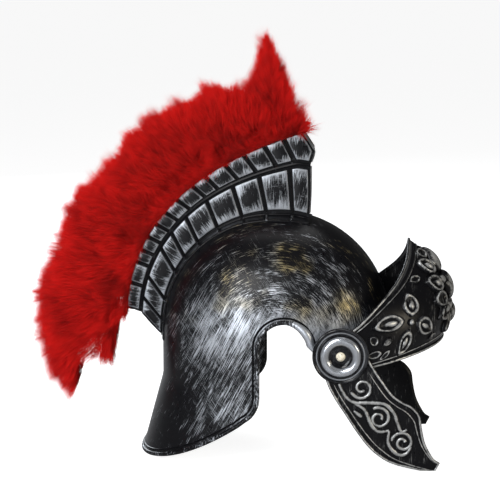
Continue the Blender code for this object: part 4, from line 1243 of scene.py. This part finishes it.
def smooth_path(points, steps):
    """A rounded line through a list of places, each a tuple of numbers."""
    padded = [points[0], *points, points[-1]]
    path = []
    for before, start, end, after in zip(padded, padded[1:], padded[2:], padded[3:]):
        for step in range(steps):
            t = step / steps
            path.append(tuple(
                0.5 * (2 * b + (c - a) * t + (2 * a - 5 * b + 4 * c - d) * t * t
                       + (3 * b - a - 3 * c + d) * t**3)
                for a, b, c, d in zip(before, start, end, after)
            ))
    return path + [tuple(points[-1])]


def spread(start, end, steps=60):
    """Evenly spaced values from a start to an end."""
    return [start + (end - start) * i / steps for i in range(steps + 1)]


def cheek_surface(x, z, side):
    """A place on a guard's outer face, from its place in the side view beside the pivot."""
    outer = CHEEK_INNER_Y + (CHEEK_DISC_THICKNESS + CHEEK_WALL) / 2
    share = (math.hypot(x, z) - CHEEK_FLAT_RADIUS) / (CHEEK_LENGTH - CHEEK_FLAT_RADIUS)
    bent_in = CHEEK_BEND * max(0.0, share) ** 1.5
    return Vector((PIVOT_X + x, side * (outer - bent_in), PIVOT_Z + z))


CHEEK_ROWS = smooth_path(
    [tuple(CHEEK_LENGTH * value for value in row) for row in CHEEK_STATIONS], CHEEK_ROW_STEPS
)


def cheek_place(along, across, side):
    """The same, at shares of the way down the guard and from its rear to its front edge."""
    row = along * (len(CHEEK_ROWS) - 1)
    index = min(int(row), len(CHEEK_ROWS) - 2)
    rear_x, rear_z, front_x, front_z = (
        a + (b - a) * (row - index) for a, b in zip(CHEEK_ROWS[index], CHEEK_ROWS[index + 1])
    )
    x, z = rear_x + (front_x - rear_x) * across, rear_z + (front_z - rear_z) * across
    return cheek_surface(x, z, side)


for side_name, side in SIDES:
    bm = sheet_of(
        len(CHEEK_ROWS) - 1, 16, lambda u, v: cheek_place(u, v, side), Vector((0, side, 0))
    )
    plate = new_object(f"cheek_plate_{side_name}", bm, relief_finish)
    give_wall(plate, CHEEK_WALL)
    apply_modifiers(plate)
    disc = turned(f"cheek_disc_{side_name}", washer(CHEEK_DISC_RADIUS, CHEEK_DISC_THICKNESS), side,
                  CHEEK_INNER_Y, relief_finish)

    steps = spread(*BORDER_SPAN)
    border = [cheek_place(share, 0.0, side) for share in steps]
    border += [cheek_place(share, 1.0, side) for share in reversed(steps)]
    border = tubes(f"cheek_border_{side_name}", [border], CHEEK_EDGE_RADIUS, relief_finish)
    steps = spread(*LINE_SPAN)
    lines = [[cheek_place(share, across, side) for share in steps] for across in LINES_ACROSS]
    swell = [[min(1.0, 0.3 + 6 * t, 0.3 + 6 * (1 - t)) for t in spread(0.0, 1.0)]] * 2
    lines = tubes(f"cheek_lines_{side_name}", lines, CHEEK_LINE_RADIUS, relief_finish, sides=8,
                  swell=swell)

    stems, swell = [], []
    for centre_x, centre_z, radius, start, turns in VINE_VOLUTES:
        scroll, thick = [], []
        for t in spread(0.0, 1.0, 48):
            angle = math.radians(start) + 2 * math.pi * turns * t
            reach = radius * (1.0 - VOLUTE_CLOSING * t)
            scroll_x, scroll_z = reach * math.cos(angle), reach * math.sin(angle)
            scroll.append(cheek_surface(centre_x + scroll_x, centre_z + scroll_z, side))
            thick.append(1.05 - 0.25 * t + 0.35 * max(0.0, (t - 0.9) / 0.1))
        stems.append(scroll)
        swell.append(thick)
    for stem in VINE_STEMS:
        path = [cheek_surface(x, z, side) for x, z in smooth_path(stem, 8)]
        stems.append(path)
        last = len(path) - 1
        swell.append([0.75 + 0.45 * math.sin(math.pi * i / last) for i in range(len(path))])
    vine = tubes(f"cheek_vine_{side_name}", stems, VINE_RADIUS, relief_finish, swell=swell)
    for rods in (border, lines, vine):
        mark_raised(rods, lambda place: Vector((0.0, side, 0.0)))
    for made in (plate, disc, border, lines, vine):
        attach(made, f"cheek_{side_name}")
        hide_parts(f"cheek_guard_{side_name}")

# Pivot bosses: a turned disc over each pivot, with a black outer ring, a thin bright line, a thick
# polished ring and a dished black middle.
BOSS_BACK_Y = CHEEK_INNER_Y + CHEEK_DISC_THICKNESS + PIVOT_GAP
BOSS_RADIUS = 0.027
BOSS_RISE = 0.0062
BOSS_FLOOR = 0.0022
BOSS_RING_RADIUS = 0.017
# The two bright rings, each with the soft edge where it starts and the one where it ends
BRIGHT_FROM, BRIGHT_TO = (0.0108, 0.0128), (0.0196, 0.0182)
THIN_FROM, THIN_TO = (0.0217, 0.0224), (0.0236, 0.0230)
BOSS_PROFILE = (
    # radius as a share of the boss's radius, height as a share of its rise, from the hole outwards
    (0.133, 0.355), (0.25, 0.36), (0.34, 0.40), (0.41, 0.56), (0.47, 0.82), (0.53, 0.97),
    (0.59, 1.0), (0.65, 0.93), (0.70, 0.74), (0.735, 0.46), (0.76, 0.28), (0.79, 0.26),
    (0.81, 0.36), (0.84, 0.47), (0.87, 0.36), (0.89, 0.28), (0.92, 0.33), (0.95, 0.46),
    (0.975, 0.42), (1.0, 0.24), (1.0, 0.0), (0.133, 0.0), (0.133, 0.355),
)

boss_finish, shader, place = new_finish("boss_finish", gloss=0.2)
x, y, z = parts_of(place)
outwards, around = round_from(x, z, PIVOT_X, PIVOT_Z, BOSS_RING_RADIUS)
bright_ring = ramp_between(outwards, *BRIGHT_FROM) * ramp_between(outwards, *BRIGHT_TO)
thin_ring = ramp_between(outwards, *THIN_FROM) * ramp_between(outwards, *THIN_TO)
strokes = use_group(strokes_group, Along=around, Across=outwards, Depth=y, Length=0.008,
                    Width=0.0005, Coverage=0.50)[0]
# More silver at the top and bottom of the bright ring than at its sides: a painted highlight from
# the lamps above and the floor below, over rubbed strokes
top_and_bottom_highlight = ramp_between((z - PIVOT_Z).math("ABSOLUTE"), 0.001, 0.012)
wear_and_highlight = top_and_bottom_highlight * 0.40 + strokes * 0.25 + 0.38
silver = (bright_ring * wear_and_highlight).math("MAXIMUM", thin_ring * 0.75).math("MAXIMUM", strokes * 0.06)
lay_silver(shader, place, silver, bump=0.03, polish=0.17)

for side_name, side in SIDES:
    profile = [(BOSS_RADIUS * radius, BOSS_RISE * height) for radius, height in BOSS_PROFILE]
    boss = turned(f"boss_{side_name}", profile, side, BOSS_BACK_Y, boss_finish, steps=96)
    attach(boss, "helmet")
    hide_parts(f"pivot_boss_{side_name}")

# Pivot rivets: a cream plastic rivet with a low round head holds boss, cheek guard and visor on
# the shell's post.
RIVET_RADIUS = 0.003
RIVET_HEAD_RADIUS = 0.0045
RIVET_HEAD_RISE = 0.0030
RIVET_TAIL_RADIUS = 0.0065
RIVET_TAIL_THICKNESS = 0.002
RIVET_EDGE = 0.0004
PIT_DEPTH = 0.0004
CREAM_PLASTIC = (0.78, 0.72, 0.58, 1.0)
GRIME = (0.30, 0.26, 0.20, 1.0)

rivet_finish, shader, place = new_finish("rivet_finish", roughness=0.4, gloss=0.5)
pits = noise_of(place, 420.0, 4.0)
plug(blend_of(ramp_between(pits, 0.50, 0.66), CREAM_PLASTIC, GRIME), shader.inputs["Base Color"])
add_bump(shader, pits, PIT_DEPTH, 0.3)

for side_name, side in SIDES:
    tail = POST_INNER_Y - PIVOT_GAP
    seat = BOSS_BACK_Y + BOSS_FLOOR + PIVOT_GAP - tail
    profile = [
        (RIVET_HEAD_RADIUS * math.sin(turn), seat + RIVET_HEAD_RISE * math.cos(turn))
        for turn in map(math.radians, range(0, 90, 9))
    ]
    profile += [
        (RIVET_HEAD_RADIUS, seat), (RIVET_RADIUS, seat), (RIVET_RADIUS, 0.0),
        (RIVET_TAIL_RADIUS - RIVET_EDGE, 0.0), (RIVET_TAIL_RADIUS, -RIVET_EDGE),
        (RIVET_TAIL_RADIUS, RIVET_EDGE - RIVET_TAIL_THICKNESS),
        (RIVET_TAIL_RADIUS - RIVET_EDGE, -RIVET_TAIL_THICKNESS), (0.0, -RIVET_TAIL_THICKNESS),
    ]
    rivet = turned(f"rivet_{side_name}", profile, side, tail, rivet_finish)
    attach(rivet, "helmet")
    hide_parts(f"pivot_rivet_{side_name}")

# Setting: a plain white floor under soft studio lamps, seen from the wearer's right side
VIEW_AZIMUTH = math.radians(3.0)
VIEW_ELEVATION = math.radians(9.5)
VIEW_DISTANCE = 1.6
VIEW_CENTRE = Vector((0.004, 0.0, 0.200))
LENS_LENGTH = 115.2
SENSOR_WIDTH = 36.0
FLOOR_HALF_SIZE = 60.0
FLOOR_COLOUR = (0.48, 0.48, 0.49, 1.0)
FLOOR_GLOW = 0.90
SKY_SEEN = 0.93
SKY_LIGHT = 0.07
WHITE = (1.0, 1.0, 1.0, 1.0)
LAMPS = (
    # name, place in metres, size in metres, watts, tint
    ("key", (-0.55, -1.6, 1.25), 0.8, 25.0, (1.0, 1.0, 1.0)),
    ("front", (-0.65, -1.9, 0.42), 0.7, 19.0, (0.92, 0.96, 1.0)),
    ("fill", (1.5, -0.9, 0.5), 0.5, 8.0, (1.0, 0.90, 0.72)),
    ("top", (0.1, 0.4, 1.9), 1.2, 10.0, (1.0, 1.0, 1.0)),
    ("back", (-1.0, 1.7, 0.9), 0.9, 24.0, (0.9, 0.95, 1.0)),
)

bm = bmesh.new()
bmesh.ops.create_grid(bm, x_segments=2, y_segments=2, size=FLOOR_HALF_SIZE)
floor_finish, shader, place = new_finish("floor_finish", roughness=0.9, coat=0.0, gloss=0.5)
plug(FLOOR_COLOUR, shader.inputs["Base Color"])
plug(WHITE, shader.inputs["Emission Color"])
plug(add_node("LightPath", place)[0] * FLOOR_GLOW, shader.inputs["Emission Strength"])
floor = new_object("floor", bm, floor_finish)


def set_up(name, data, place, out):
    """Puts a lamp or a camera at a place, looking back along the way out to it."""
    holder = bpy.data.objects.new(name, data)
    holder.location = place
    holder.rotation_euler = out.to_track_quat("Z", "Y").to_euler()
    bpy.context.scene.collection.objects.link(holder)
    return holder


for name, place, size, power, tint in LAMPS:
    lamp = bpy.data.lights.new(name, "AREA")
    lamp.size = size
    lamp.energy = power
    lamp.color = tint
    set_up(name, lamp, place, Vector(place) - VIEW_CENTRE)

world = bpy.data.worlds.new("studio")
world.use_nodes = True
sky = world.node_tree.nodes["Background"]
seen = Field(world.node_tree.nodes.new("ShaderNodeLightPath").outputs["Is Camera Ray"])
plug(seen * SKY_SEEN + SKY_LIGHT, sky.inputs["Strength"])
plug(WHITE, sky.inputs["Color"])
bpy.context.scene.world = world
bpy.context.scene.view_settings.view_transform = "Standard"

lens = bpy.data.cameras.new("camera")
lens.lens = LENS_LENGTH
lens.sensor_width = SENSOR_WIDTH
back = Vector((
    math.sin(VIEW_AZIMUTH) * math.cos(VIEW_ELEVATION),
    -math.cos(VIEW_AZIMUTH) * math.cos(VIEW_ELEVATION),
    math.sin(VIEW_ELEVATION),
))
camera = set_up("camera", lens, VIEW_CENTRE + back * VIEW_DISTANCE, back)
bpy.context.scene.camera = camera
